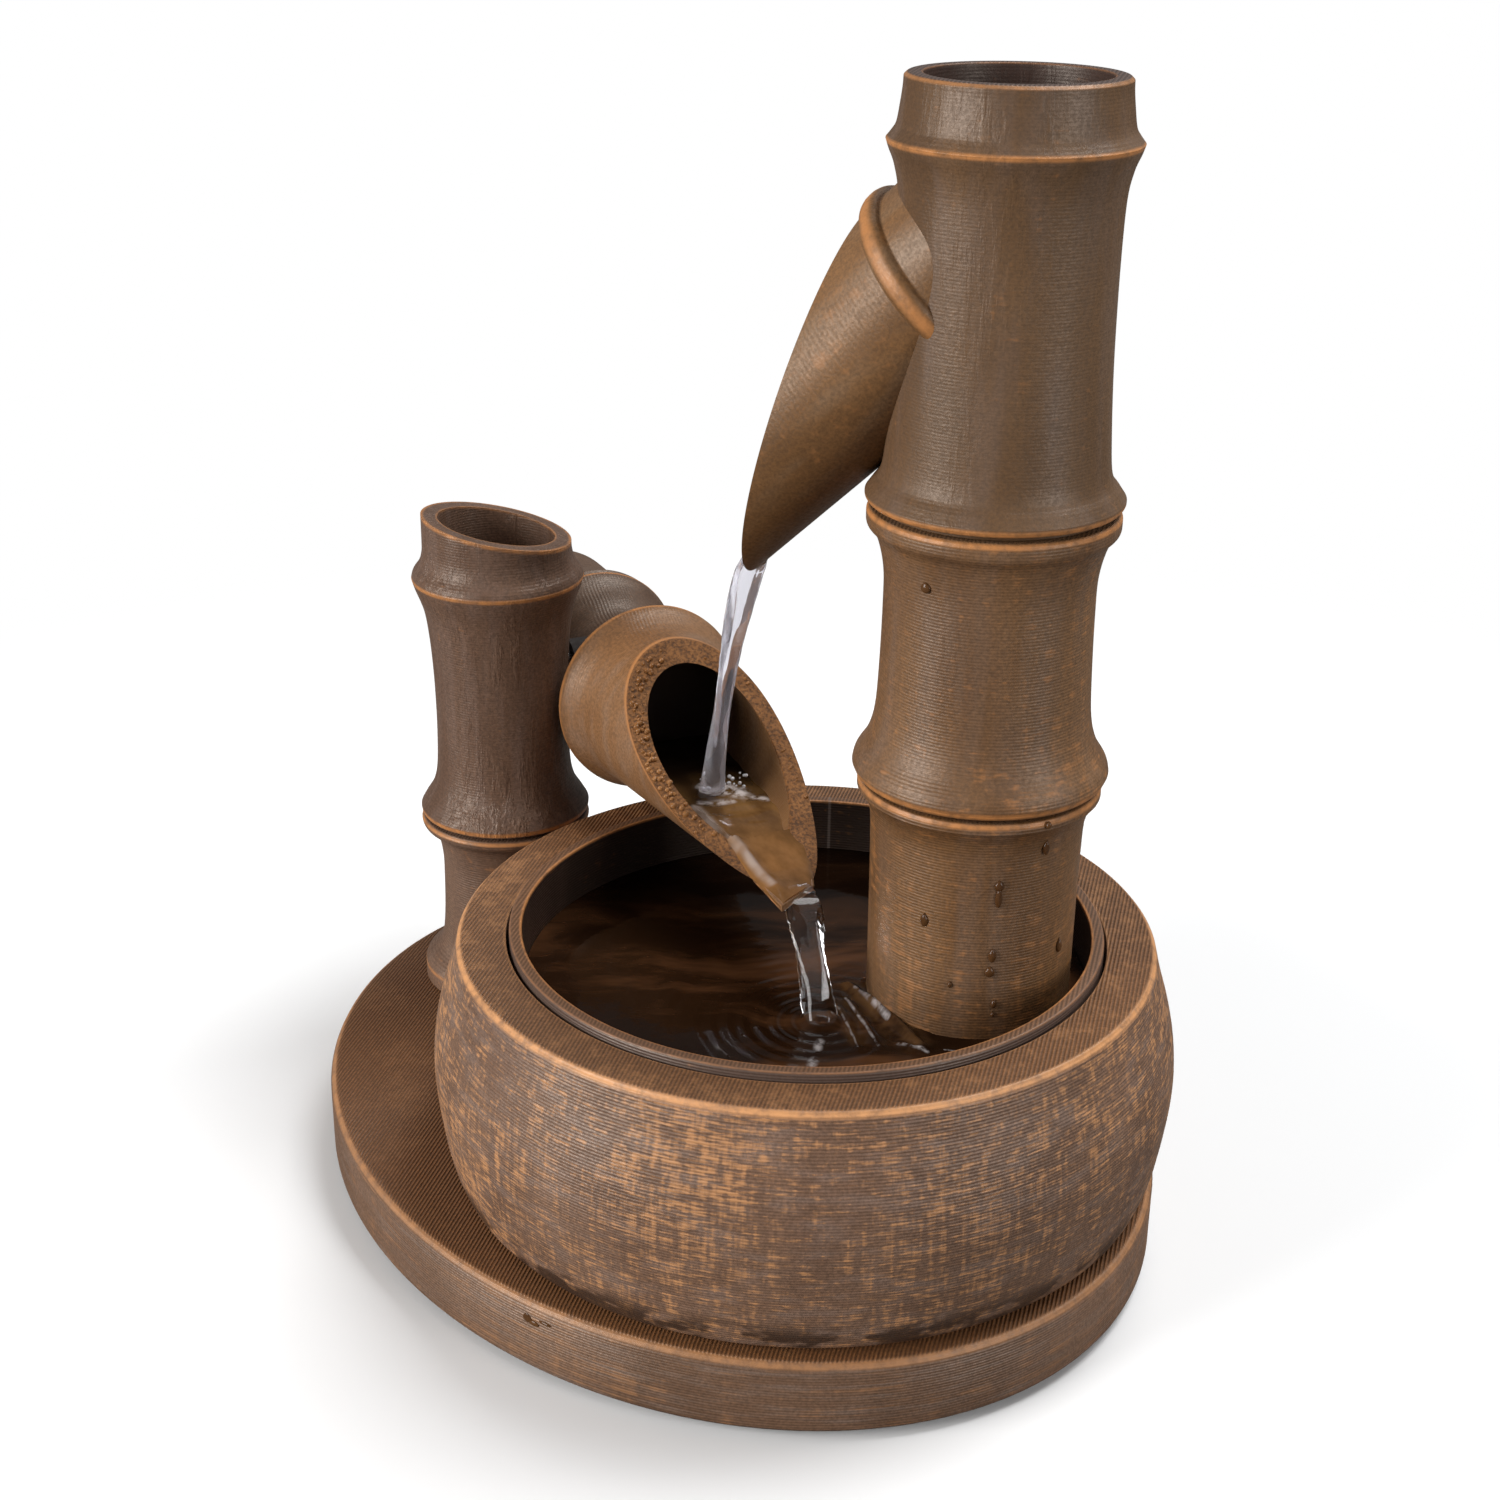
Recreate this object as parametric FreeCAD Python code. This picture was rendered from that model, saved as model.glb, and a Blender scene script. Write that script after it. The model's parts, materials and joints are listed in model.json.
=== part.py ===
"""Tabletop bamboo-style fountain with a tipping tube, millimetres, +Z up.

The origin is on the surface that the rubber feet stand on, under the centre of the water bowl.
-Y is the front and +X the right-hand side. Heights named *_z are above the underside of the base plate,
and save() lifts every piece by the height of the feet.
"""
import FreeCAD
import Part
import math
import os
from FreeCAD import Vector

# Driving dimensions: base plate and feet
foot_stand = 0.8
foot_r = 5.8
foot_recess = 1.0
plate_long = 59.1
plate_short = 47.9
plate_turn = 123.6
plate_x = -9.26
plate_y = 13.9
plate_h = 9.3
plate_top_round = 1.2
plate_low_round = 0.7

# Driving dimensions: bowl, seen as a barrel with a separate liner
bowl_foot_r = 39.2
bowl_belly_r = 43.1
bowl_rim_r = 39.9
bowl_top_z = 38.4
bowl_bore_r = 34.45
bowl_floor = 5.0
basin_r = 34.1
basin_wall = 1.5
basin_floor = 1.6
basin_lip = 0.9
gland_r = 2.4
gland_flange_r = 4.4
gland_turn = 62.0
gland_z = 26.0

# Driving dimensions: tall post of three lengths
post_x = 18.59
post_y = -4.09
post_body_r = 11.25
post_ring_r = 13.98
post_seam_r = 13.35
post_groove_r = 12.2
post_groove = 0.6
post_low_seam_z = 59.7
post_high_seam_z = 90.3
post_top_z = 133.8
post_top_r = 11.15
post_cup_r = 9.26
post_bore_r = 6.5
pump_room_r = 9.6
spigot = 5.0
spigot_wall = 1.9
fit_gap = 0.05
ring_band_under = 6.3
ring_band_r = 12.7
intake_w = 5.0
intake_h = 3.0

# Driving dimensions: upper spout
spout_under = 14.3
spout_turn = 155.6
spout_drop = 43.5
spout_r = 10.4
spout_bore_r = 8.2
spout_back = 17.5
spout_cut_at = 29.25
spout_cut_angle = 29.2
collar_at = 9.2
collar_r = 11.4
collar_w = 2.5
plug_under = 15.5
plug_over = 6.0
channel_run = 20.0
spout_blank = 60.0
channel_r = 2.0
stub_r = 4.0
stub_in = 6.1

# Driving dimensions: pump inside the foot of the tall post
pump_r = 9.2
pump_low_z = 17.4
pump_split_z = 24.0
pump_top_z = 46.0
chamber_r = 6.6
chamber_h = 4.0
impeller_r = 6.1
impeller_h = 3.0
impeller_gap = 0.4
shaft_r = 0.75
shaft_up = 9.0
barb_off = 3.0
barb_r = 2.0
barb_bore_r = 1.2
barb_h = 7.0
hose_r = 3.0

# Driving dimensions: side post that carries the tipping tube
side_x = -40.5
side_y = 41.0
side_foot_r = 11.5
spigot_side_r = 5.5
side_groove_r = 10.0
side_body_r = 8.6
side_seam_z = 33.3
side_seam_r = 11.1
side_ring_z = 66.2
side_ring_r = 11.0
side_top_r = 9.48
side_cup_r = 7.4
side_cup_floor_z = 60.0
side_rim_z = 72.65
side_rim_slope_x = -0.197
side_rim_slope_y = -0.042

# Driving dimensions: tipping tube, with its own axis from the ring towards the mouth
tube_x = -21.4
tube_y = 41.2
tube_z = 49.9
tube_turn = -63.4
tube_rise = 1.0
tube_ring_r = 12.4
tube_body_r = 11.05
tube_taper = 0.06
tube_wall = 2.3
tube_seam = 0.6
tube_ring2_at = -19.0
tube_ring2_r = 11.4
tube_tail_at = -34.2
tube_tail_r = 9.8
tube_waist_r = 7.85
tube_waist_bore_r = 5.9
tube_cap = 1.8
mouth_arc_r = 79.4
mouth_arc_at = 62.1
mouth_arc_up = 69.3
lip_half = 1.6
lip_aside = 0.9
lip_from = 36.2
beak_top = -7.45
beak_t = 0.75
bulkhead = 1.8
bulkhead_at = 2.0
weight_r = 6.6
weight_len = 10.5

# Driving dimensions: hinge of the tipping tube
axle_up = 3.5
axle_r = 1.5
axle_in_post = 6.0
bush_r = 2.6
bush_len = 3.4
running_gap = 0.05
bush_near = 4.4
clip_r = 2.2
clip_w = 0.8
clip_gap = 0.3
clip_groove = 0.3

# Driving dimensions: screws
screw_r = 1.5
screw_hole_r = 1.6
screw_head_r = 2.75
screw_head_h = 2.2
screw_pocket_r = 3.1
screw_pocket_h = 4.5
screw_bite = 4.0
screw_ring_r = 22.0

# Sizes that follow from the driving dimensions
bowl_floor_z = plate_h + bowl_floor
water_floor_z = bowl_floor_z + basin_floor
post_foot_z = water_floor_z
outlet_z = pump_top_z + barb_h
ring_band_z = post_top_z - ring_band_under
spout_z = post_top_z - spout_under
plug_low_z = spout_z - plug_under
plug_top_z = spout_z + plug_over
plug_barb_z = plug_low_z - barb_h

os.makedirs("parts", exist_ok=True)


def save(name, shape):
    """Write one piece, lifted onto its feet, after checking that it is one valid solid."""
    shape = shape.removeSplitter()
    solids = shape.Solids
    if len(solids) != 1 or not shape.isValid():
        raise ValueError(f"{name}: {len(solids)} solids, valid {shape.isValid()}")
    solid = solids[0].copy()
    solid.translate(Vector(0, 0, foot_stand))
    solid.exportStep(f"parts/{name}.step")
    return solid


def disc(radius, z_low, z_high, x=0.0, y=0.0):
    """A round bar on a vertical axis."""
    return Part.makeCylinder(radius, z_high - z_low, Vector(x, y, z_low))


def curve(points):
    """A smooth edge through points given as (radius, height)."""
    spline = Part.BSplineCurve()
    spline.interpolate([Vector(r, 0, z) for r, z in points])
    return spline.toShape()


def line(a, b):
    """A straight edge between two (radius, height) points."""
    return Part.makeLine(Vector(a[0], 0, a[1]), Vector(b[0], 0, b[1]))


def turned(runs, x=0.0, y=0.0):
    """A solid of revolution. Each run is a list of (radius, height) points, smooth when it has more than two."""
    edges = []
    last = None
    for run in runs:
        if last is not None and math.dist(last, run[0]) > 1e-6:
            edges.append(line(last, run[0]))
        edges.append(curve(run) if len(run) > 2 else line(run[0], run[1]))
        last = run[-1]
    first = runs[0][0]
    if math.dist(last, first) > 1e-6:
        edges.append(line(last, first))
    face = Part.Face(Part.Wire(edges))
    solid = face.revolve(Vector(0, 0, 0), Vector(0, 0, 1), 360)
    solid = Part.Solid(solid) if solid.ShapeType != "Solid" else solid
    solid.translate(Vector(x, y, 0))
    return solid


def frame_of(origin, turn, rise):
    """Placement whose Z runs along a direction (turn from +X, rise from level), with Y the upward side."""
    t = math.radians(turn)
    e = math.radians(rise)
    ahead = Vector(math.cos(e) * math.cos(t), math.cos(e) * math.sin(t), math.sin(e))
    side = Vector(-math.sin(t), math.cos(t), 0)
    up = ahead.cross(side)
    m = FreeCAD.Matrix(side.x, up.x, ahead.x, origin.x, side.y, up.y, ahead.y, origin.y,
                       side.z, up.z, ahead.z, origin.z, 0, 0, 0, 1)
    return FreeCAD.Placement(m)


def placed(shape, frame):
    """A copy of a shape modelled about the origin, set into a frame."""
    copy = shape.copy()
    copy.Placement = frame.multiply(copy.Placement)
    return copy


def slab(point, normal, reach=200.0):
    """A large block on the far side of a plane, for slicing."""
    block = Part.makeBox(reach, reach, reach, Vector(-reach / 2, -reach / 2, 0))
    block.Placement = FreeCAD.Placement(point, FreeCAD.Rotation(Vector(0, 0, 1), normal))
    return block


def rounded(shape, radius, wanted):
    """Fillet the edges that the test picks."""
    edges = [e for e in shape.Edges if wanted(e)]
    return shape.makeFillet(radius, edges)


# Screws come up from the underside into the bowl and the side post
screw_spots = []
for turn in (90.0, 210.0, 330.0):
    t = math.radians(turn)
    screw_spots.append((screw_ring_r * math.cos(t), screw_ring_r * math.sin(t)))
screw_spots.append((side_x, side_y))

# Rubber feet under the centre of the bowl and near the ends of the long and short axes of the plate
foot_spots = [(0.0, 0.0)]
for along, across in ((0.74, 0.0), (-0.74, 0.0), (0.0, 0.74), (0.0, -0.74)):
    t = math.radians(plate_turn)
    dx = along * plate_long * math.cos(t) - across * plate_short * math.sin(t)
    dy = along * plate_long * math.sin(t) + across * plate_short * math.cos(t)
    foot_spots.append((plate_x + dx, plate_y + dy))


def make_base_plate():
    """Oval slab with a softly rounded upper edge, foot recesses and screw pockets."""
    oval = Part.Ellipse(Vector(0, 0, 0), plate_long, plate_short).toShape()
    slab_shape = Part.Face(Part.Wire(oval)).extrude(Vector(0, 0, plate_h))
    slab_shape = rounded(slab_shape, plate_top_round, lambda e: e.BoundBox.ZMin > plate_h - 0.01)
    slab_shape = rounded(slab_shape, plate_low_round, lambda e: e.BoundBox.ZMax < 0.01)
    slab_shape.rotate(Vector(0, 0, 0), Vector(0, 0, 1), plate_turn)
    slab_shape.translate(Vector(plate_x, plate_y, 0))
    for x, y in foot_spots:
        slab_shape = slab_shape.cut(disc(foot_r + fit_gap, -1, foot_recess, x, y))
    for x, y in screw_spots:
        slab_shape = slab_shape.cut(disc(screw_pocket_r, -1, screw_pocket_h, x, y))
        slab_shape = slab_shape.cut(disc(screw_hole_r, 0, plate_h + 1, x, y))
    return slab_shape


def make_foot(x, y):
    """Round rubber foot that stands proud of the underside."""
    foot = disc(foot_r, -foot_stand, foot_recess, x, y)
    return rounded(foot, 0.5, lambda e: e.BoundBox.ZMax < -foot_stand + 0.01)


def make_screw(x, y):
    """Pan-head screw with a cross slot, head down in its pocket."""
    head_low = screw_pocket_h - screw_head_h
    head = disc(screw_head_r, head_low, screw_pocket_h, x, y)
    head = rounded(head, 0.6, lambda e: e.BoundBox.ZMax < head_low + 0.01)
    for length, width in ((3.2, 0.8), (0.8, 3.2)):
        corner = Vector(x - length / 2, y - width / 2, head_low - 1)
        head = head.cut(Part.makeBox(length, width, 2.1, corner))
    return head.fuse(disc(screw_r, screw_pocket_h, plate_h + screw_bite, x, y))


def gland_bar(radius, near, far):
    """A level bar through the back of the bowl where the cable gland goes."""
    t = math.radians(gland_turn)
    out = Vector(math.cos(t), math.sin(t), 0)
    return Part.makeCylinder(radius, far - near, out * near + Vector(0, 0, gland_z), out)


def make_bowl_shell():
    """Barrel-shaped outer wall with a flat rim, a floor and a small shadow step at its foot."""
    step = 0.8
    side = [(bowl_foot_r + 1.2, plate_h + step), (bowl_foot_r + 2.0, plate_h + 1.8),
            (bowl_belly_r - 0.9, plate_h + 5.4), (bowl_belly_r, plate_h + 12.6),
            (bowl_belly_r - 0.2, plate_h + 17.4), (bowl_belly_r - 1.0, plate_h + 21.4),
            (bowl_rim_r + 1.0, plate_h + 25.4), (bowl_rim_r + 0.2, bowl_top_z - 0.6)]
    outside = [[(0, plate_h), (bowl_foot_r, plate_h)],
               [(bowl_foot_r, plate_h + step), side[0]],
               side,
               [(bowl_rim_r - 0.3, bowl_top_z), (bowl_bore_r, bowl_top_z)],
               [(bowl_bore_r, bowl_floor_z), (0, bowl_floor_z)]]
    shell = turned(outside)
    for x, y in screw_spots[:3]:
        shell = shell.cut(disc(screw_r, plate_h - 1, plate_h + screw_bite, x, y))
    return shell.cut(gland_bar(gland_r + fit_gap, basin_r - 6, bowl_belly_r + 4))


def make_inner_basin():
    """Thin liner that holds the water, standing a little above the rim of the shell."""
    lip_z = bowl_top_z + basin_lip
    inside = basin_r - basin_wall
    round_in = 1.5
    basin = turned([[(0, bowl_floor_z), (basin_r, bowl_floor_z)],
                    [(basin_r, lip_z - 0.3), (basin_r - 0.3, lip_z)],
                    [(inside + 0.3, lip_z), (inside, lip_z - 0.3)],
                    [(inside, water_floor_z + round_in),
                     (inside - 0.29 * round_in, water_floor_z + 0.29 * round_in),
                     (inside - round_in, water_floor_z)],
                    [(inside - round_in, water_floor_z), (0, water_floor_z)]])
    return basin.cut(gland_bar(gland_r + fit_gap, basin_r - 6, bowl_belly_r + 4))


def make_cable_gland():
    """Rubber gland through the back of the bowl, with a flange outside."""
    body = gland_bar(gland_r, basin_r - basin_wall - 1.5, bowl_belly_r + 0.6)
    flange = gland_bar(gland_flange_r, bowl_belly_r + 0.4, bowl_belly_r + 2.4)
    return body.fuse(flange)


def make_post_lower():
    """Foot length of the tall post, with the pump room and slots that let water in."""
    seam = post_low_seam_z
    outer = [(post_body_r + 0.25, post_foot_z), (post_body_r + 0.3, 39.0), (post_body_r + 0.45, 53.0),
             (post_body_r + 0.8, 56.3), (post_seam_r - 0.55, 57.8), (post_seam_r, 58.5)]
    piece = turned([outer, [(post_seam_r, 58.5), (post_seam_r, seam - 0.5)],
                    [(post_seam_r - 0.3, seam), (pump_room_r, seam)],
                    [(pump_room_r, post_foot_z), (outer[0][0], post_foot_z)]], post_x, post_y)
    for turn in (30.0, 150.0, 270.0):
        slot = Part.makeBox(20, intake_w, intake_h, Vector(0, -intake_w / 2, post_foot_z))
        slot.rotate(Vector(0, 0, 0), Vector(0, 0, 1), turn)
        slot.translate(Vector(post_x, post_y, 0))
        piece = piece.cut(slot)
    return piece


def make_post_middle():
    """Middle length, a waisted stretch between two rings, plugged into the one below."""
    low = post_low_seam_z
    high = post_high_seam_z
    groove = low + post_groove
    flank = [(post_ring_r, groove + 0.9), (post_ring_r - 0.3, groove + 2.0), (post_ring_r - 1.5, groove + 4.0),
             (post_body_r + 0.45, groove + 7.0), (post_body_r + 0.15, groove + 12.0),
             (post_body_r, groove + 19.0), (post_body_r + 0.1, high - 6.8), (post_body_r + 0.9, high - 3.4),
             (post_seam_r - 0.15, high - 2.0), (post_seam_r, high - 1.2)]
    plug_r = pump_room_r - fit_gap
    return turned([[(post_bore_r, low - spigot), (plug_r, low - spigot)],
                   [(plug_r, low), (post_groove_r, low)],
                   [(post_groove_r, groove), (post_ring_r - 0.4, groove)],
                   flank,
                   [(post_seam_r, high - 0.4), (post_seam_r - 0.3, high)],
                   [(post_bore_r + spigot_wall + fit_gap, high), (post_bore_r + spigot_wall + fit_gap, high - spigot)],
                   [(post_bore_r, high - spigot), (post_bore_r, low - spigot)]], post_x, post_y)


def upper_outline():
    """Outer side of the top length from its lowest ring to the open rim."""
    groove = post_high_seam_z + post_groove
    stretch = (ring_band_z - groove) / 36.6
    return [[(post_ring_r - 0.75, groove), (post_ring_r - 0.4, groove + 0.5)],
            [(post_ring_r - 0.4, groove + 0.9), (post_ring_r - 1.1, groove + 1.9), (post_body_r + 0.7, groove + 3.4),
             (post_body_r + 0.3, groove + 7.4 * stretch), (post_body_r - 0.05, groove + 15.0 * stretch),
             (post_body_r - 0.15, groove + 24.0 * stretch), (post_body_r, groove + 31.0 * stretch),
             (post_body_r + 0.5, ring_band_z - 2.6), (ring_band_r - 0.3, ring_band_z - 0.9),
             (ring_band_r, ring_band_z)],
            [(ring_band_r, ring_band_z), (post_top_r + 1.0, ring_band_z + 0.7),
             (post_top_r + 0.55, ring_band_z + 1.5), (post_top_r + 0.25, ring_band_z + 3.3),
             (post_top_r + 0.05, post_top_z - 1.4), (post_top_r, post_top_z - 0.35)]]


def spout_frame():
    """Axis of the spout, from its crossing with the post's axis outwards and down."""
    return frame_of(Vector(post_x, post_y, spout_z), spout_turn, -spout_drop)


def make_post_upper():
    """Top length with an open end, a shoulder for the plug and a side hole for the spout's stub."""
    high = post_high_seam_z
    piece = turned([[(post_bore_r, high - spigot), (post_bore_r + spigot_wall, high - spigot)],
                    [(post_bore_r + spigot_wall, high), (post_groove_r, high)],
                    [(post_groove_r, high + post_groove), upper_outline()[0][0]],
                    *upper_outline(),
                    [(post_top_r - 0.35, post_top_z), (post_cup_r, post_top_z)],
                    [(post_cup_r, plug_low_z), (post_bore_r, plug_low_z)],
                    [(post_bore_r, plug_low_z), (post_bore_r, high - spigot)]], post_x, post_y)
    hole = placed(Part.makeCylinder(stub_r + fit_gap, spout_back + 6), spout_frame())
    return piece.cut(hole)


def make_outlet_plug():
    """Plug inside the top length: the floor of the open end, with the water way to the spout."""
    plug = disc(post_cup_r - fit_gap, plug_low_z, plug_top_z, post_x, post_y)
    neck = disc(barb_r, plug_barb_z, plug_low_z, post_x + barb_off, post_y)
    plug = plug.fuse(neck)
    riser = disc(barb_bore_r, plug_barb_z, spout_z - 2.0, post_x + barb_off, post_y)
    across = placed(Part.makeCylinder(channel_r, channel_run, Vector(0, 0, -barb_off)), spout_frame())
    socket = placed(Part.makeCylinder(stub_r + fit_gap, channel_run, Vector(0, 0, stub_in - 0.1)), spout_frame())
    return plug.cut(riser).cut(across).cut(socket)


def make_spout():
    """Slanted open tube with a collar at the post and a hollow stub that enters the plug."""
    tube = Part.makeCylinder(spout_r, spout_blank)
    collar = Part.makeCylinder(collar_r, collar_w, Vector(0, 0, collar_at - collar_w / 2))
    collar = rounded(collar, 0.6, lambda e: e.Curve.TypeId == "Part::GeomCircle")
    tube = tube.fuse(collar)
    tube = tube.cut(Part.makeCylinder(spout_bore_r, spout_blank, Vector(0, 0, spout_back)))
    slant = math.radians(spout_cut_angle)
    tube = tube.cut(slab(Vector(0, 0, spout_cut_at), Vector(0, math.cos(slant), math.sin(slant))))
    tube = placed(tube, spout_frame())
    core = turned([[(0, post_high_seam_z), (post_groove_r, post_high_seam_z)],
                   [(post_groove_r, post_high_seam_z + post_groove), upper_outline()[0][0]], *upper_outline(),
                   [(post_top_r - 0.35, post_top_z), (0, post_top_z)]], post_x, post_y)
    tube = tube.cut(core).cut(make_post_middle())
    solids = sorted(tube.Solids, key=lambda s: -s.Volume)
    stub = placed(Part.makeCylinder(stub_r, spout_back - stub_in, Vector(0, 0, stub_in)), spout_frame())
    way = placed(Part.makeCylinder(channel_r, spout_back + 2), spout_frame())
    return solids[0].fuse(stub).cut(way)


def make_pump_body():
    """Motor housing with the outlet barb, the outlet way and a blind bearing hole for the shaft."""
    body = disc(pump_r, pump_split_z, pump_top_z, post_x, post_y)
    body = rounded(body, 0.8, lambda e: e.BoundBox.ZMin > pump_top_z - 0.01)
    body = body.fuse(disc(barb_r, pump_top_z, outlet_z, post_x + barb_off, post_y))
    body = body.cut(disc(barb_bore_r, pump_split_z - 1, outlet_z + 1, post_x + barb_off, post_y))
    return body.cut(disc(shaft_r + running_gap, pump_split_z - 1, pump_split_z + shaft_up, post_x, post_y))


def make_pump_cover():
    """Cup under the motor: the impeller chamber, its intake hole and three short legs."""
    cover = disc(pump_r, pump_low_z, pump_split_z, post_x, post_y)
    cover = cover.cut(disc(chamber_r, pump_split_z - chamber_h, pump_split_z + 1, post_x, post_y))
    cover = cover.cut(disc(channel_r + 0.5, pump_low_z - 1, pump_split_z, post_x, post_y))
    for turn in (90.0, 210.0, 330.0):
        t = math.radians(turn)
        x = post_x + (pump_r - 1.8) * math.cos(t)
        y = post_y + (pump_r - 1.8) * math.sin(t)
        cover = cover.fuse(disc(1.4, post_foot_z, pump_low_z, x, y))
    return cover


def make_pump_impeller():
    """Six-bladed impeller with its shaft, free in the chamber."""
    low = pump_split_z - chamber_h + impeller_gap
    high = low + impeller_h
    wheel = disc(impeller_r, high - 0.9, high, post_x, post_y)
    wheel = wheel.fuse(disc(1.9, low, high, post_x, post_y))
    for k in range(6):
        blade = Part.makeBox(impeller_r - 0.4, 0.7, impeller_h, Vector(0, -0.35, low))
        blade.rotate(Vector(0, 0, 0), Vector(0, 0, 1), 60.0 * k)
        blade.translate(Vector(post_x, post_y, 0))
        wheel = wheel.fuse(blade)
    return wheel.fuse(disc(shaft_r, low, pump_split_z + shaft_up - 0.5, post_x, post_y))


def make_riser_hose():
    """Straight soft hose from the pump's barb to the plug's barb."""
    x = post_x + barb_off
    hose = disc(hose_r, pump_top_z + 0.5, plug_low_z - 0.5, x, post_y)
    return hose.cut(disc(barb_r, pump_top_z, plug_low_z, x, post_y))


def make_side_post_lower():
    """Foot length of the side post with its flange on the plate."""
    seam = side_seam_z
    flank = [(side_foot_r, plate_h + 2.3), (side_foot_r - 0.5, plate_h + 3.2), (side_body_r + 0.7, plate_h + 5.0),
             (side_body_r + 0.1, plate_h + 8.5), (side_body_r - 0.1, seam - 9.0), (side_body_r, seam - 5.5),
             (side_body_r + 0.7, seam - 2.6), (side_seam_r - 0.3, seam - 1.3), (side_seam_r, seam - 0.5)]
    post = turned([[(0, plate_h), (side_foot_r, plate_h)], flank,
                   [(side_seam_r - 0.3, seam), (spigot_side_r, seam)],
                   [(spigot_side_r, seam + spigot), (0, seam + spigot)],
                   [(0, seam + spigot), (0, plate_h)]], side_x, side_y)
    return post.cut(disc(screw_r, plate_h - 1, plate_h + screw_bite, side_x, side_y))


def tube_frame():
    """Axis of the tipping tube, from the centre of its front ring towards the mouth."""
    return frame_of(Vector(tube_x, tube_y, tube_z), tube_turn, tube_rise)


def hinge_frame():
    """Hinge pin: level, square to the tube, through the side post. Z runs from the tube into the post."""
    along = tube_frame().Rotation.multVec(Vector(0, 0, 1))
    side = tube_frame().Rotation.multVec(Vector(1, 0, 0))
    up = tube_frame().Rotation.multVec(Vector(0, 1, 0))
    to_post = Vector(side_x - tube_x, side_y - tube_y, 0)
    at = to_post.dot(along)
    centre = Vector(tube_x, tube_y, tube_z) + along * at + up * axle_up
    if to_post.dot(side) < 0:
        side = side * -1
    return centre, side, to_post.dot(side)


def hinge_bar(radius, near, far):
    """A round bar on the hinge axis, between two distances from the tube's middle plane."""
    centre, side, reach = hinge_frame()
    return Part.makeCylinder(radius, far - near, centre + side * near, side)


def make_side_post_upper():
    """Upper length with a slanted open rim, a ring and a solid core that grips the hinge pin."""
    seam = side_seam_z
    low = seam + post_groove
    flank = [(side_seam_r, low + 0.7), (side_seam_r - 0.7, low + 1.9), (side_body_r + 0.8, low + 3.6),
             (side_body_r + 0.2, low + 6.2), (side_body_r, low + 11.0), (side_body_r + 0.02, low + 16.0),
             (side_body_r + 0.18, low + 20.5), (side_body_r + 0.5, side_ring_z - 7.6),
             (side_body_r + 1.0, side_ring_z - 4.2), (side_ring_r - 0.35, side_ring_z - 1.2),
             (side_ring_r, side_ring_z)]
    neck = [(side_ring_r, side_ring_z), (side_ring_r - 0.25, side_ring_z + 0.8), (side_top_r + 0.5, side_ring_z + 1.9),
            (side_top_r + 0.1, side_ring_z + 3.2), (side_top_r, side_ring_z + 5.0), (side_top_r, side_ring_z + 12.0)]
    top = side_ring_z + 12.0
    post = turned([[(spigot_side_r + fit_gap, seam), (side_groove_r, seam)],
                   [(side_groove_r, low), (side_seam_r - 0.1, low)],
                   flank, neck,
                   [(side_cup_r, top), (side_cup_r, side_cup_floor_z)],
                   [(0, side_cup_floor_z), (0, seam + spigot + 0.5)],
                   [(spigot_side_r + fit_gap, seam + spigot + 0.5), (spigot_side_r + fit_gap, seam)]], side_x, side_y)
    tilt = Vector(-side_rim_slope_x, -side_rim_slope_y, 1)
    post = post.cut(slab(Vector(side_x, side_y, side_rim_z), tilt))
    reach = hinge_frame()[2]
    return post.cut(hinge_bar(axle_r, reach - 20, reach - side_body_r + axle_in_post))


def front_radius(at):
    """Outer radius of the tapering front of the tube."""
    return tube_body_r - tube_taper * at


def make_tube_front():
    """Mouth length: a ring, a gentle taper and a long scooped cut that runs out to a pouring lip."""
    seam = -tube_seam / 2
    flank = [(tube_ring_r, 0.9), (tube_ring_r - 0.3, 1.5), (tube_body_r + 0.35, 2.9), (front_radius(5.5), 5.5),
             (front_radius(14.0), 14.0), (front_radius(30.0), 30.0), (front_radius(48.0), 48.0)]
    inner_far = front_radius(48.0) - tube_wall
    bore = tube_body_r - tube_wall
    body = turned([[(bore, seam), (tube_ring_r - 0.3, seam)],
                   [(tube_ring_r, seam + 0.4), (tube_ring_r, 0.9)],
                   flank,
                   [(inner_far, 48.0), (bore, bulkhead_at + bulkhead)],
                   [(bore, bulkhead_at + bulkhead), (bore, seam)]])
    scoop = Part.makeCylinder(mouth_arc_r, 60, Vector(-30, mouth_arc_up, mouth_arc_at), Vector(1, 0, 0))
    body = body.cut(scoop)
    for sign in (-1, 1):
        corners = [(sign * front_radius(lip_from), lip_from), (lip_aside + sign * 5.9, lip_from + 5.2),
                   (lip_aside + sign * lip_half, lip_from + 10.0), (lip_aside + sign * lip_half, 60.0),
                   (sign * 30.0, 60.0), (sign * 30.0, lip_from)]
        wire = Part.makePolygon([Vector(x, -20, z) for x, z in corners + corners[:1]])
        body = body.cut(Part.Face(wire).extrude(Vector(0, 40, 0)))
    body = max(body.Solids, key=lambda s: s.Volume)
    corners = [(-3.6, 41.0), (-4.0, 49.6), (1.6, 46.2), (3.4, 41.0)]
    wire = Part.makePolygon([Vector(x, beak_top - beak_t, z) for x, z in corners + corners[:1]])
    return placed(body.fuse(Part.Face(wire).extrude(Vector(0, beak_t, 0))), tube_frame())


def hinge_at():
    """Place of the hinge along the tube's axis."""
    to_post = Vector(side_x - tube_x, side_y - tube_y, 0)
    return to_post.dot(tube_frame().Rotation.multVec(Vector(0, 0, 1)))


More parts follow.
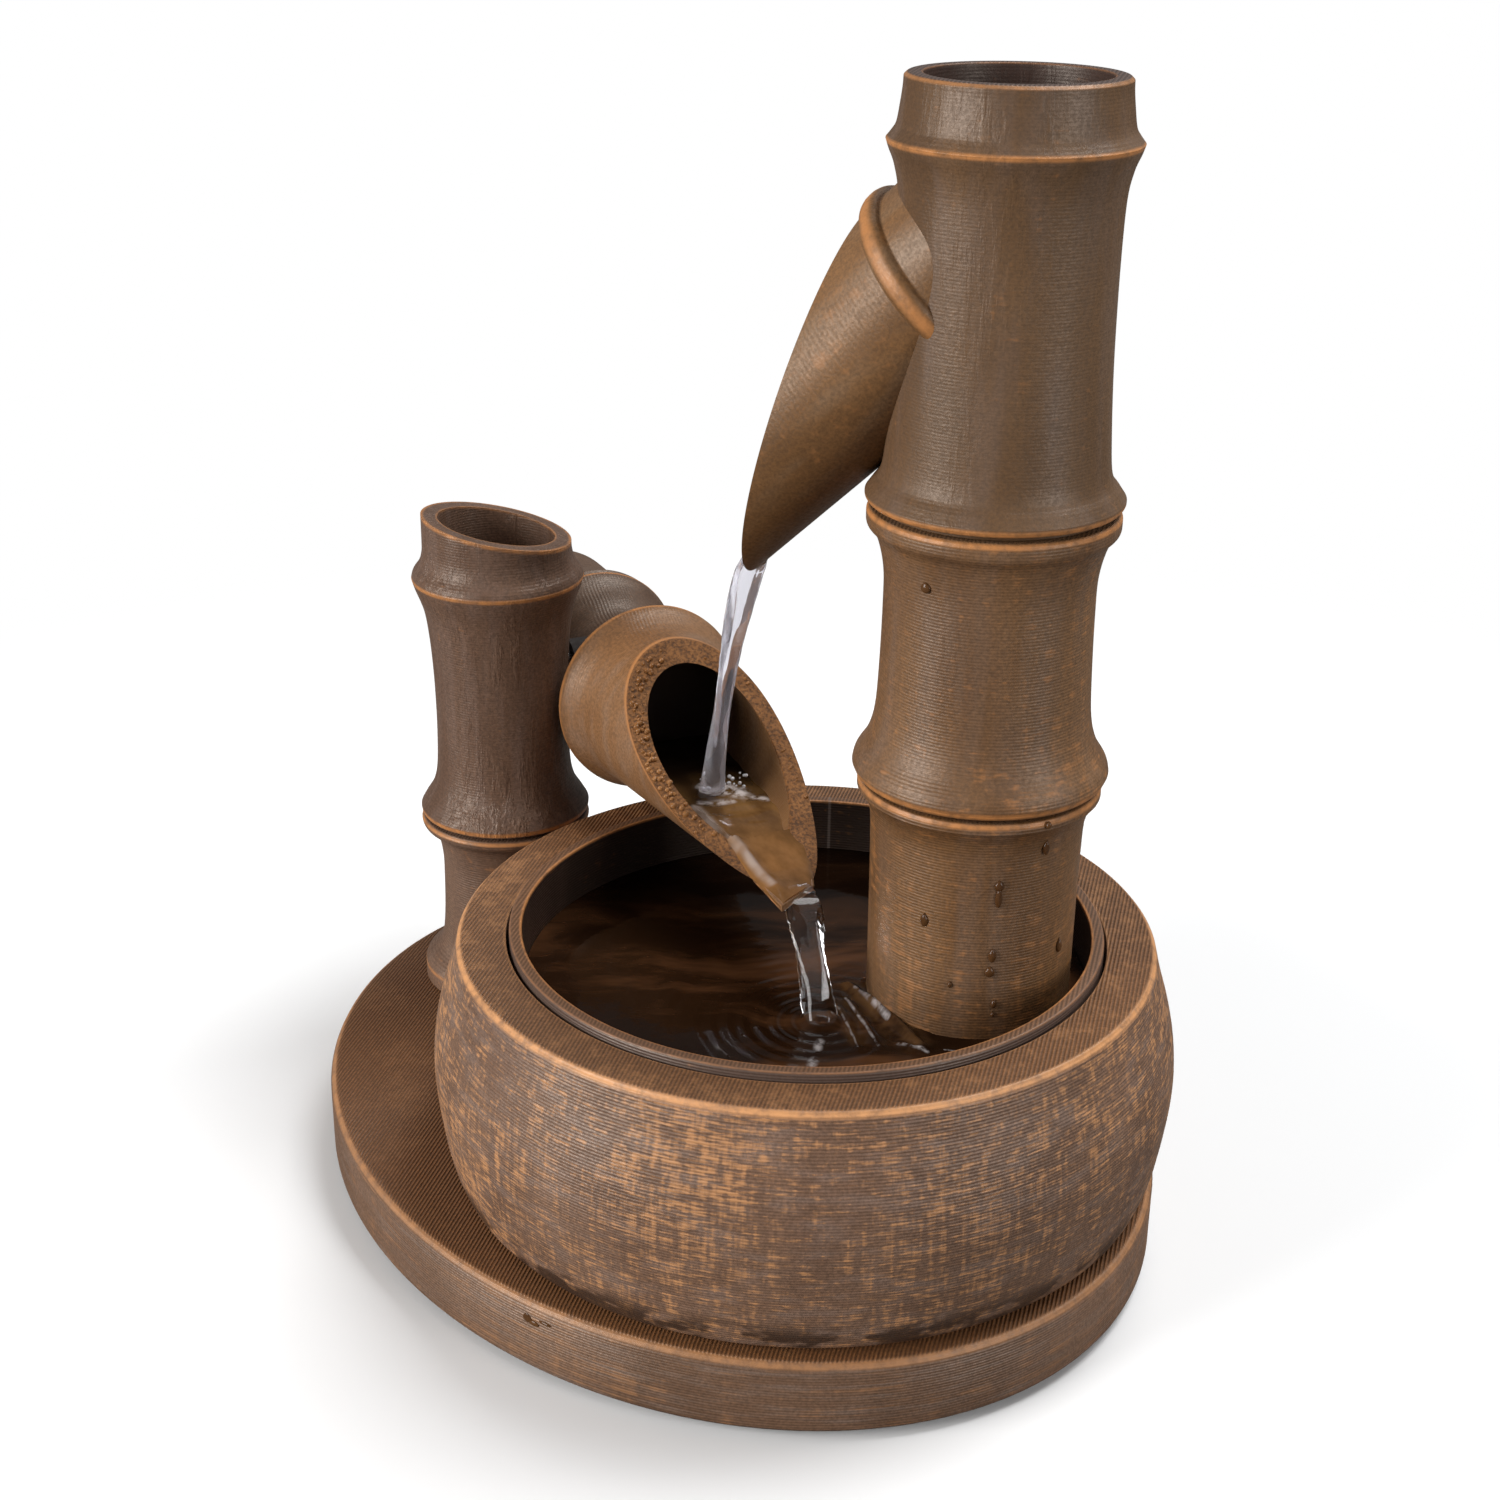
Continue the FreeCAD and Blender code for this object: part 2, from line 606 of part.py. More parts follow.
def make_tube_waist():
    """Waisted length between the rings, hollowed round the side post, with the bush hole in its side."""
    front = tube_seam / 2
    at = hinge_at()
    flank = [(tube_ring_r - 0.9, -front - 0.5), (tube_ring_r - 1.2, -front - 1.0), (9.9, -2.5),
             (8.75, -4.0), (tube_waist_r + 0.15, at + 2.2), (tube_waist_r, at), (tube_waist_r + 0.25, at - 2.3),
             (9.2, at - 4.8), (10.1, at - 7.3), (tube_ring2_r - 0.3, tube_ring2_at + 1.5),
             (tube_ring2_r, tube_ring2_at + 0.6)]
    sleeve_r = tube_body_r - tube_wall - fit_gap
    body = turned([[(tube_waist_bore_r, bulkhead_at), (sleeve_r, bulkhead_at)],
                   [(sleeve_r, -front), (tube_ring_r - 1.2, -front)],
                   flank,
                   [(tube_ring2_r - 0.2, tube_ring2_at), (tube_waist_bore_r, tube_ring2_at)],
                   [(tube_waist_bore_r, tube_ring2_at), (tube_waist_bore_r, bulkhead_at)]])
    body = placed(body, tube_frame())
    return body.cut(hinge_bar(bush_r, bush_near - 2.4, bush_near + 8))


def make_tube_tail():
    """Hollow tail behind the second ring, with a spigot that plugs into the waist."""
    start = tube_ring2_at - tube_seam
    spigot_r = tube_waist_bore_r - fit_gap
    flank = [(tube_ring2_r - 0.1, start - 0.5), (tube_ring2_r - 0.5, start - 1.4), (tube_tail_r + 0.45, start - 3.4),
             (tube_tail_r + 0.05, start - 7.0), (tube_tail_r - 0.05, start - 11.0), (tube_tail_r, tube_tail_at)]
    room_r = weight_r + fit_gap
    body = turned([[(spigot_r - 1.6, start + 4.0), (spigot_r, start + 4.0)],
                   [(spigot_r, start + tube_seam), (tube_ring2_r - 0.9, start + tube_seam)],
                   [(tube_ring2_r - 0.9, start), (tube_ring2_r - 0.4, start)],
                   flank,
                   [(room_r, tube_tail_at), (room_r, start - 1.6)],
                   [(spigot_r - 1.6, start - 1.6), (spigot_r - 1.6, start + 4.0)]])
    return placed(body, tube_frame())


def make_tail_cap():
    """Round-edged end cap with a short plug."""
    cap = Part.makeCylinder(tube_tail_r, tube_cap, Vector(0, 0, tube_tail_at - tube_cap))
    cap = rounded(cap, 0.9, lambda e: e.BoundBox.ZMax < tube_tail_at - tube_cap + 0.01)
    plug = Part.makeCylinder(weight_r, 1.2, Vector(0, 0, tube_tail_at))
    return placed(cap.fuse(plug), tube_frame())


def make_tube_bulkhead():
    """Disc that closes the water chamber of the mouth length."""
    wall = Part.makeCylinder(tube_body_r - tube_wall - fit_gap, bulkhead, Vector(0, 0, bulkhead_at))
    return placed(wall, tube_frame())


def make_counterweight():
    """Steel slug that brings the empty tube's mouth up again."""
    slug = Part.makeCylinder(weight_r, weight_len, Vector(0, 0, tube_tail_at + 1.4))
    return placed(slug, tube_frame())


def make_axle():
    """Hinge pin, fixed in the side post, with a groove for the clip."""
    reach = hinge_frame()[2]
    clip_near = bush_near - clip_gap - clip_w
    pin = hinge_bar(axle_r, clip_near - 0.6, reach - side_body_r + axle_in_post)
    groove = hinge_bar(axle_r + 1, clip_near, clip_near + clip_w)
    groove = groove.cut(hinge_bar(axle_r - clip_groove, clip_near, clip_near + clip_w))
    return pin.cut(groove)


def make_axle_clip():
    """Retaining ring in the groove of the pin."""
    clip_near = bush_near - clip_gap - clip_w
    ring = hinge_bar(clip_r, clip_near, clip_near + clip_w)
    return ring.cut(hinge_bar(axle_r - clip_groove, clip_near - 1, clip_near + clip_w + 1))


def make_axle_bush():
    """Plain bearing pressed into the side of the waist."""
    bush = hinge_bar(bush_r, bush_near, bush_near + bush_len)
    return bush.cut(hinge_bar(axle_r + running_gap, bush_near - 1, bush_near + bush_len + 1))


save("base_plate", make_base_plate())
for number, (x, y) in enumerate(foot_spots, 1):
    save(f"rubber_foot_{number}", make_foot(x, y))
for number, (x, y) in enumerate(screw_spots, 1):
    save(f"base_screw_{number}", make_screw(x, y))
save("bowl_shell", make_bowl_shell())
save("inner_basin", make_inner_basin())
save("cable_gland", make_cable_gland())
save("post_lower", make_post_lower())
save("post_middle", make_post_middle())
save("post_upper", make_post_upper())
save("outlet_plug", make_outlet_plug())
save("spout", make_spout())
save("pump_body", make_pump_body())
save("pump_cover", make_pump_cover())
save("pump_impeller", make_pump_impeller())
save("riser_hose", make_riser_hose())
save("side_post_lower", make_side_post_lower())
save("side_post_upper", make_side_post_upper())
save("axle", make_axle())
save("axle_clip", make_axle_clip())
save("axle_bush", make_axle_bush())
save("tube_front", make_tube_front())
save("tube_waist", make_tube_waist())
save("tube_tail", make_tube_tail())
save("tail_cap", make_tail_cap())
save("tube_bulkhead", make_tube_bulkhead())
save("counterweight", make_counterweight())
centre, side, reach = hinge_frame()
print("hinge point", [round(v, 3) for v in (centre.x, centre.y, centre.z + foot_stand)],
      "axis to the post", [round(v, 5) for v in (side.x, side.y, side.z)])
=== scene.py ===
"""Tabletop fountain shaped like bamboo: an oval plate carries a round bowl, a tall post with a slanted
spout, and a side post with a tipping tube. The brown pieces are printed plastic, brushed over with
copper-coloured paint."""
import json
import math
import random
import bpy
from mathutils import Matrix, Vector


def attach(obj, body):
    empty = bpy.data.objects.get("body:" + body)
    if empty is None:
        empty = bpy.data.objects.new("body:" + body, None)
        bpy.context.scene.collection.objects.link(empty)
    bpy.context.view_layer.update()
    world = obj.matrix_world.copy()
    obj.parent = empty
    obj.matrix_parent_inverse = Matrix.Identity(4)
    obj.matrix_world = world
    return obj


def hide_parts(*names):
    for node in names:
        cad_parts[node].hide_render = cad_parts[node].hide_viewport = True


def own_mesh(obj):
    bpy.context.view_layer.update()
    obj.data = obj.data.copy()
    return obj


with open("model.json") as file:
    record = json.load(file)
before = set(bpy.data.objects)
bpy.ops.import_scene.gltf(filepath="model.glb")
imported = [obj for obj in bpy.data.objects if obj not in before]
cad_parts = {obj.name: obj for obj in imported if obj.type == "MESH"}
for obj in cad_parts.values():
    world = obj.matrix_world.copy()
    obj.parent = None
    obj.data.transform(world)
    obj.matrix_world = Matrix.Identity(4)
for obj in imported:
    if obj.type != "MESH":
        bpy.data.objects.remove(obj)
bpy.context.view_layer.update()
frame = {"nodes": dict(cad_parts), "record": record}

nodes = frame["nodes"]

# The oval plate that everything stands on: one printed slab with a softly rounded upper edge, fine print
# lines on its top and layer lines round its side. Screws come up through pockets in its underside.
mm = 0.001
feet_height = 0.8


def smooth_run(points, steps=5):
    """A smooth line through the given points."""
    out = [points[0]]
    for k in range(len(points) - 1):
        a = points[max(k - 1, 0)]
        b, c = points[k], points[k + 1]
        d = points[min(k + 2, len(points) - 1)]
        for step in range(1, steps + 1):
            t = step / steps
            out.append(tuple(
                0.5 * (2 * b[i] + (c[i] - a[i]) * t + (2 * a[i] - 5 * b[i] + 4 * c[i] - d[i]) * t * t
                       + (3 * b[i] - a[i] - 3 * c[i] + d[i]) * t ** 3) for i in range(len(b))))
    return out


def eased(points, cut=0.3):
    """The same line with each sharp corner rounded off, as a print's edges are."""
    nearly_straight, share_of_side = 0.86, 0.42
    out = [points[0]]
    for a, b, c in zip(points, points[1:], points[2:]):
        ab, bc = math.dist(a, b), math.dist(b, c)
        if ab < 1e-6 or bc < 1e-6:
            continue
        u = ((b[0] - a[0]) / ab, (b[1] - a[1]) / ab)
        v = ((c[0] - b[0]) / bc, (c[1] - b[1]) / bc)
        if u[0] * v[0] + u[1] * v[1] > nearly_straight:
            out.append(b)
            continue
        d = min(cut, share_of_side * ab, share_of_side * bc)
        start = (b[0] - u[0] * d, b[1] - u[1] * d)
        end = (b[0] + v[0] * d, b[1] + v[1] * d)
        for t in (0.0, 0.25, 0.5, 0.75, 1.0):
            out.append(tuple((1 - t) ** 2 * start[i] + 2 * t * (1 - t) * b[i] + t * t * end[i]
                             for i in (0, 1)))
    out.append(points[-1])
    return out


def spun(name, line, centre=(0.0, 0.0), lift=feet_height, segments=192):
    """A profile of (radius, height) points in mm is drawn point by point and spun round an upright axis."""
    bpy.ops.object.select_all(action="DESELECT")
    bpy.ops.mesh.primitive_plane_add(size=mm, location=(0, 0, 0))
    piece = bpy.context.object
    piece.name = name
    piece.data.name = name
    x, y = centre
    bpy.ops.object.mode_set(mode="EDIT")
    bpy.ops.mesh.select_all(action="SELECT")
    bpy.ops.mesh.merge(type="CENTER")
    bpy.ops.transform.translate(value=((x + line[0][0]) * mm, y * mm, (line[0][1] + lift) * mm))
    for (r0, z0), (r1, z1) in zip(line, line[1:]):
        step = ((r1 - r0) * mm, 0, (z1 - z0) * mm)
        bpy.ops.mesh.extrude_vertices_move(TRANSFORM_OT_translate={"value": step})
    bpy.ops.mesh.select_all(action="SELECT")
    bpy.ops.mesh.spin(steps=segments, angle=math.tau, center=(x * mm, y * mm, 0), axis=(0, 0, 1))
    bpy.ops.mesh.select_all(action="SELECT")
    bpy.ops.mesh.remove_doubles(threshold=0.003 * mm)
    bpy.ops.mesh.normals_make_consistent(inside=False)
    bpy.ops.object.mode_set(mode="OBJECT")
    soften(piece)
    return piece


def pick(piece):
    """Makes one piece the one that operators act on."""
    bpy.ops.object.select_all(action="DESELECT")
    piece.select_set(True)
    bpy.context.view_layer.objects.active = piece


def soften(piece, degrees=38):
    """Smooth shading that keeps the sharp edges."""
    pick(piece)
    bpy.ops.object.shade_smooth_by_angle(angle=math.radians(degrees))


def carve(piece, cutter, how="DIFFERENCE"):
    """Cuts one mesh with another, or joins them, and clears the cutter away."""
    pick(piece)
    cut = piece.modifiers.new("cut", "BOOLEAN")
    cut.operation = how
    cut.solver = "EXACT"
    cut.object = cutter
    bpy.ops.object.modifier_apply(modifier="cut")
    bpy.data.objects.remove(cutter)


def rod(radius, low, high, x, y):
    """A plain round bar, used only to cut with."""
    bpy.ops.object.select_all(action="DESELECT")
    bpy.ops.mesh.primitive_cylinder_add(vertices=96, radius=radius * mm, depth=(high - low) * mm,
                                        location=(x * mm, y * mm, (low + high) / 2 * mm))
    bpy.ops.object.transform_apply(location=True, rotation=True, scale=True)
    return bpy.context.object


def settle(piece, matrix):
    """Moves a mesh modelled about the origin to its place, and leaves its object at the origin."""
    pick(piece)
    piece.matrix_world = matrix
    bpy.ops.object.transform_apply(location=True, rotation=True, scale=True)


def wire(tree, kind, sockets=None, **settings):
    """Adds a shader node, sets it, and links or fills its inputs."""
    made = tree.nodes.new(kind)
    for key, value in settings.items():
        setattr(made, key, value)
    for key, value in (sockets or {}).items():
        if isinstance(value, bpy.types.NodeSocket):
            tree.links.new(value, made.inputs[key])
        else:
            made.inputs[key].default_value = value
    return made


def number(tree, operation, first, second=None, third=None, clamp=False):
    """A Math node's output."""
    sockets = {0: first}
    if second is not None:
        sockets[1] = second
    if third is not None:
        sockets[2] = third
    return wire(tree, "ShaderNodeMath", sockets, operation=operation, use_clamp=clamp).outputs[0]


def hypotenuse(tree, a, b):
    """The long side over two short ones."""
    return number(tree, "SQRT", number(tree, "MULTIPLY_ADD", a, a, number(tree, "MULTIPLY", b, b)))


def ramp(tree, value, low, high, to_low=0.0, to_high=1.0):
    """A smooth step of a value between two levels."""
    return wire(tree, "ShaderNodeMapRange", {"Value": value, "From Min": low, "From Max": high,
                                             "To Min": to_low, "To Max": to_high},
                interpolation_type="SMOOTHSTEP").outputs[0]


def group(name, inputs, outputs):
    """An empty shader node group with named sockets."""
    made = bpy.data.node_groups.new(name, "ShaderNodeTree")
    for socket, kind, value in inputs:
        item = made.interface.new_socket(socket, in_out="INPUT", socket_type=kind)
        if value is not None:
            item.default_value = value
    for socket, kind in outputs:
        made.interface.new_socket(socket, in_out="OUTPUT", socket_type=kind)
    return made, made.nodes.new("NodeGroupInput"), made.nodes.new("NodeGroupOutput")


def noise(tree, position, scale, stretch, detail, seed, roughness=0.5):
    """Stretched noise, scale in features per metre."""
    moved = wire(tree, "ShaderNodeVectorMath", {0: position, 1: stretch}, operation="MULTIPLY").outputs[0]
    return wire(tree, "ShaderNodeTexNoise", {"Vector": moved, "W": seed, "Scale": scale, "Detail": detail,
                                             "Roughness": roughness}, noise_dimensions="4D").outputs["Fac"]


# Copper paint left by a dry brush: dashes along the print layers, strokes up and down, thicker in patches.
dry_brush, start, end = group("dry brush", [
    ("Position", "NodeSocketVector", None), ("Dash", "NodeSocketFloat", 380.0),
    ("Layer", "NodeSocketFloat", 1900.0), ("Stroke", "NodeSocketFloat", 1200.0),
    ("Seed", "NodeSocketFloat", 0.0), ("Bare", "NodeSocketFloat", 0.55)],
    [("Mask", "NodeSocketFloat"), ("Height", "NodeSocketFloat")])
position, seed = start.outputs["Position"], start.outputs["Seed"]
across = wire(dry_brush, "ShaderNodeCombineXYZ", {0: start.outputs["Dash"], 1: start.outputs["Dash"],
                                                 2: start.outputs["Layer"]}).outputs[0]
upward = wire(dry_brush, "ShaderNodeCombineXYZ", {0: start.outputs["Stroke"], 1: start.outputs["Stroke"],
                                                 2: 110.0}).outputs[0]
dashes = noise(dry_brush, position, 1.0, across, 2.0, seed, 0.6)
strokes = noise(dry_brush, position, 1.0, upward, 2.0, seed, 0.6)
patches = noise(dry_brush, position, 55.0, (1, 1, 0.6), 2.0, seed)
laid = number(dry_brush, "MULTIPLY", dashes, 0.62)
laid = number(dry_brush, "ADD", laid, number(dry_brush, "MULTIPLY", strokes, 0.38))
laid = number(dry_brush, "MULTIPLY_ADD", patches, 0.26, laid)
laid = number(dry_brush, "SUBTRACT", laid, start.outputs["Bare"])
dry_brush.links.new(ramp(dry_brush, laid, 0.03, 0.2), end.inputs["Mask"])
dry_brush.links.new(dashes, end.inputs["Height"])

# One bright brushed line round a piece, where its surface comes closest to a circle of that radius
# and height.
bright_ring, start, end = group("bright ring", [
    ("Position", "NodeSocketVector", None), ("Radius", "NodeSocketFloat", 0.01),
    ("Height", "NodeSocketFloat", 0.0), ("Width", "NodeSocketFloat", 0.001)], [("Mask", "NodeSocketFloat")])
parts = wire(bright_ring, "ShaderNodeSeparateXYZ", {0: start.outputs["Position"]})
reach = hypotenuse(bright_ring, parts.outputs[0], parts.outputs[1])
off_r = number(bright_ring, "SUBTRACT", reach, start.outputs["Radius"])
off_z = number(bright_ring, "SUBTRACT", parts.outputs[2], start.outputs["Height"])
away = number(bright_ring, "DIVIDE", hypotenuse(bright_ring, off_r, off_z), start.outputs["Width"])
bright_ring.links.new(ramp(bright_ring, away, 0.15, 1.0, 1.0, 0.0), end.inputs["Mask"])

# Lines left by the printer: parallel lines on faces that look up, and layers on faces that stand.
print_lines, start, end = group("print lines", [
    ("Position", "NodeSocketVector", None), ("Facing", "NodeSocketVector", None),
    ("Line", "NodeSocketFloat", 0.00044), ("Layer", "NodeSocketFloat", 0.00035)],
    [("Height", "NodeSocketFloat"), ("Top", "NodeSocketFloat")])
line_turn = math.radians(168.0)
line_course = (math.cos(line_turn), math.sin(line_turn), 0)
turned_x = wire(print_lines, "ShaderNodeVectorMath", {0: start.outputs["Position"], 1: line_course},
                operation="DOT_PRODUCT").outputs["Value"]
rise_z = wire(print_lines, "ShaderNodeSeparateXYZ", {0: start.outputs["Position"]}).outputs[2]
facing_up = wire(print_lines, "ShaderNodeSeparateXYZ", {0: start.outputs["Facing"]}).outputs[2]
top_wave, side_wave = (
    number(print_lines, "SINE", number(print_lines, "MULTIPLY", number(
        print_lines, "DIVIDE", run, start.outputs[gap]), math.tau))
    for run, gap in ((turned_x, "Line"), (rise_z, "Layer")))
top = ramp(print_lines, facing_up, 0.8, 0.95)
both = wire(print_lines, "ShaderNodeMix", {"Factor": top, "A": side_wave, "B": top_wave}).outputs["Result"]
print_lines.links.new(both, end.inputs["Height"])
print_lines.links.new(top, end.inputs["Top"])


def own_place(tree, centre=(0, 0, 0), frame_of_piece=None):
    """Object coordinates measured from a piece's own middle, or in the frame of a piece that lies askew."""
    if frame_of_piece is None:
        back, shift = Matrix.Identity(3), Vector(centre) * mm + Vector((0, 0, feet_height * mm))
    else:
        back = frame_of_piece.to_3x3().transposed()
        shift = frame_of_piece.to_translation()
    spot = wire(tree, "ShaderNodeTexCoord")
    place = wire(tree, "ShaderNodeMapping", {"Vector": spot.outputs["Object"], "Location": -(back @ shift),
                                             "Rotation": back.to_euler()}).outputs[0]
    return spot, place


def blended(tree, factor, under, over):
    """One colour laid over another by a mask."""
    pair = [(*c, 1) if isinstance(c, tuple) else c for c in (under, over)]
    return wire(tree, "ShaderNodeMix", {"Factor": factor, "A": pair[0], "B": pair[1]},
                data_type="RGBA").outputs["Result"]


def printed(name, dark, light, copper, rings=(), centre=(0, 0, 0), frame_of_piece=None, bare=0.62,
            dash=380.0, layer=1900.0, stroke=1200.0, brushed=0.6, lines=0.5, side_lines=0.25, rough=0.46,
            seed=0.0, haze=0.35, haze_tone=(0.16, 0.105, 0.075), streak=(1, 1, 0.1), speckle=0.25, wet=0.0,
            top_tone=None, layer_gap=0.35, runs=0.0, rim=None, outer_tone=None, foot_dark=None,
            inner_shade_tone=None, edge_paint=0.0):
    """Printed plastic, clouded and hazed, under a dry-brushed coat of paint. The grey haze is in part a
    painted sheen.

    A ring is a bright brushed line: its radius, height and width in mm, and its strength. A rim holds such
    rings on a slanted face. Outer and top tones set the plastic's colour on those sides; the inner tone is
    painted shade inside a bore, and the foot tone darkens a piece towards its foot, in blotches.
    """
    made = bpy.data.materials.new(name)
    made.use_nodes = True
    tree = made.node_tree
    shader = tree.nodes["Principled BSDF"]
    spot, place = own_place(tree, centre, frame_of_piece)
    clouds = ramp(tree, noise(tree, place, 90.0, (1, 1, 0.45), 3.0, seed + 3.0), 0.3, 0.7)
    tone = blended(tree, clouds, dark, light)
    # In part painted sheen: a streaked pale grey haze laid over the plastic in patches.
    mist = ramp(tree, noise(tree, place, 330.0, streak, 3.0, seed + 7.0), 0.42, 0.72, 0.0, haze)
    tone = blended(tree, mist, tone, haze_tone)
    lines_made = wire(tree, "ShaderNodeGroup", {}, node_tree=print_lines)
    tree.links.new(place, lines_made.inputs["Position"])
    tree.links.new(spot.outputs["Normal"], lines_made.inputs["Facing"])
    lines_made.inputs["Layer"].default_value = layer_gap * mm
    if top_tone is not None:
        valleys = ramp(tree, lines_made.outputs["Height"], -1.0, 1.0, 0.62, 1.3)
        top = wire(tree, "ShaderNodeVectorMath", {0: top_tone, 1: valleys}, operation="MULTIPLY").outputs[0]
        tone = blended(tree, lines_made.outputs["Top"], tone, top)
    parts = wire(tree, "ShaderNodeSeparateXYZ", {0: place})
    reach = hypotenuse(tree, parts.outputs[0], parts.outputs[1])
    if outer_tone is not None:
        outside = ramp(tree, reach, (outer_tone[0] - 0.2) * mm, outer_tone[0] * mm)
        tone = blended(tree, outside, tone, outer_tone[1])
    # Painted shade inside a bore: a darker tone within the given radius.
    if inner_shade_tone is not None:
        inside = ramp(tree, reach, inner_shade_tone[0] * mm, (inner_shade_tone[0] + 0.25) * mm, 1.0, 0.0)
        tone = blended(tree, inside, tone, inner_shade_tone[1])
    grain = noise(tree, place, 2600.0, (1, 1, 1), 3.0, seed + 11.0, 0.65)
    grain = ramp(tree, grain, 0.3, 0.7, 1.0 - speckle, 1.0 + speckle)
    tone = wire(tree, "ShaderNodeVectorMath", {0: tone, 1: grain}, operation="MULTIPLY").outputs[0]
    brush = wire(tree, "ShaderNodeGroup", {}, node_tree=dry_brush)
    tree.links.new(place, brush.inputs["Position"])
    for socket, value in (("Dash", dash), ("Layer", layer), ("Stroke", stroke), ("Seed", seed),
                          ("Bare", bare)):
        brush.inputs[socket].default_value = value
    spared = number(tree, "MULTIPLY_ADD", lines_made.outputs["Top"], -0.7, 1.0)
    paint = number(tree, "MULTIPLY", number(tree, "MULTIPLY", brush.outputs["Mask"], brushed), spared)
    worn = ramp(tree, noise(tree, place, 700.0, (1, 1, 1), 3.0, seed + 17.0, 0.6), 0.25, 0.62, 0.3, 1.0)
    marks = [(place, *ring) for ring in rings]
    if rim is not None:
        lifted = wire(tree, "ShaderNodeVectorMath", {0: place, 1: (*rim[0], 1.0)}, operation="DOT_PRODUCT")
        level = wire(tree, "ShaderNodeCombineXYZ", {0: parts.outputs[0], 1: parts.outputs[1],
                                                    2: lifted.outputs["Value"]}).outputs[0]
        marks += [(level, *ring) for ring in rim[1]]
    for where, radius, height, width, strength in marks:
        ring = wire(tree, "ShaderNodeGroup", {}, node_tree=bright_ring)
        tree.links.new(where, ring.inputs["Position"])
        ring.inputs["Radius"].default_value = radius * mm
        ring.inputs["Height"].default_value = height * mm
        ring.inputs["Width"].default_value = width * mm
        glow = number(tree, "MULTIPLY", number(tree, "MULTIPLY", ring.outputs["Mask"], worn), strength)
        paint = number(tree, "MAXIMUM", paint, glow)
    if edge_paint:
        facing = wire(tree, "ShaderNodeSeparateXYZ", {0: spot.outputs["Normal"]}).outputs[2]
        turned = number(tree, "MULTIPLY", ramp(tree, facing, 0.25, 0.5),
                        ramp(tree, facing, 0.84, 0.96, 1.0, 0.0))
        turned = number(tree, "MULTIPLY", number(tree, "MULTIPLY", turned, worn), edge_paint)
        paint = number(tree, "MAXIMUM", paint, turned)
    tone = blended(tree, paint, tone, copper)
    if foot_dark is not None:
        # Darker towards the foot of the piece, in blotches.
        low_z, high_z, foot_dark_tone = foot_dark
        low = ramp(tree, parts.outputs[2], low_z * mm, high_z * mm, 1.0, 0.0)
        blots = ramp(tree, noise(tree, place, 130.0, (1, 1, 2.0), 3.0, seed + 19.0, 0.6), 0.45, 0.53)
        blots = number(tree, "MULTIPLY", number(tree, "MULTIPLY", low, blots), 0.85)
        tone = blended(tree, blots, tone, foot_dark_tone)
    tree.links.new(tone, shader.inputs["Base Color"])
    ridges = wire(tree, "ShaderNodeMix", {"Factor": lines_made.outputs["Top"], "A": side_lines, "B": lines})
    height = number(tree, "MULTIPLY", lines_made.outputs["Height"], ridges.outputs["Result"])
    height = number(tree, "MULTIPLY_ADD", brush.outputs["Height"], 1.0, height)
    height = number(tree, "MULTIPLY_ADD", grain, 0.8, height)
    if runs:
        trickle = ramp(tree, noise(tree, place, 850.0, (1, 1, 0.16), 4.0, seed + 23.0, 0.62), 0.44, 0.62)
        where = ramp(tree, noise(tree, place, 110.0, (1, 1, 0.4), 2.0, seed + 27.0), 0.42, 0.6)
        height = number(tree, "MULTIPLY_ADD", number(tree, "MULTIPLY", trickle, where), runs, height)
    bump = wire(tree, "ShaderNodeBump", {"Strength": 0.5, "Distance": 0.07 * mm, "Height": height})
    tree.links.new(bump.outputs[0], shader.inputs["Normal"])
    tree.links.new(ramp(tree, grain, 1.0 - speckle, 1.0 + speckle, rough + 0.06, rough - 0.06),
                   shader.inputs["Roughness"])
    shader.inputs["Specular IOR Level"].default_value = 0.5
    shader.inputs["Specular Tint"].default_value = (1.0, 0.9, 0.8, 1.0)
    shader.inputs["Coat Weight"].default_value = wet
    shader.inputs["Coat Roughness"].default_value = 0.15
    return made


def dress(piece, material, body, slot_name, *replaced):
    """Gives a piece its material and its body, and hides the made parts it stands in for. The slot name is
    not used.
    """
    piece.data.materials.clear()
    piece.data.materials.append(material)
    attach(piece, body)
    if replaced:
        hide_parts(*replaced)


copper_paint = (0.5, 0.21, 0.068)
plate_long = 59.1
plate_short = 47.9
plate_turn = math.radians(123.6)
plate_middle = (-9.26, 13.9)
plate_height = 9.3
plate_line = [(0, 0), (plate_short - 0.7, 0), (plate_short, 0.7), (plate_short, plate_height - 1.1),
              (plate_short - 0.35, plate_height - 0.35), (plate_short - 1.2, plate_height),
              (0, plate_height)]
plate = spun("oval_plate", eased(plate_line, 0.35), segments=256)
settle(plate, Matrix.Translation((plate_middle[0] * mm, plate_middle[1] * mm, 0))
       @ Matrix.Rotation(plate_turn, 4, "Z") @ Matrix.Diagonal((plate_long / plate_short, 1, 1, 1)))
foot_pocket, screw_pocket = (5.85, 1.0), (3.1, 4.5)
for name, node in nodes.items():
    if name.startswith(("rubber_foot", "base_screw")):
        middle = sum((Vector(corner) for corner in node.bound_box), Vector()) / 8 / mm
        reach, ceiling = foot_pocket if name.startswith("rubber_foot") else screw_pocket
        carve(plate, rod(reach, -1.0, ceiling + feet_height, middle.x, middle.y))
soften(plate)
plate_skin = printed("plate_print", (0.115, 0.062, 0.036), (0.17, 0.095, 0.058), (0.42, 0.2, 0.085),
                     bare=0.6, dash=90.0, layer=2400.0, stroke=500.0, brushed=0.45, lines=2.2,
                     side_lines=0.5, seed=1.0, haze=0.5, haze_tone=(0.19, 0.138, 0.112),
                     streak=(0.4, 0.4, 5.0), top_tone=(0.136, 0.057, 0.021), edge_paint=0.85)
dress(plate, plate_skin, "stand", "plate", "base_plate")

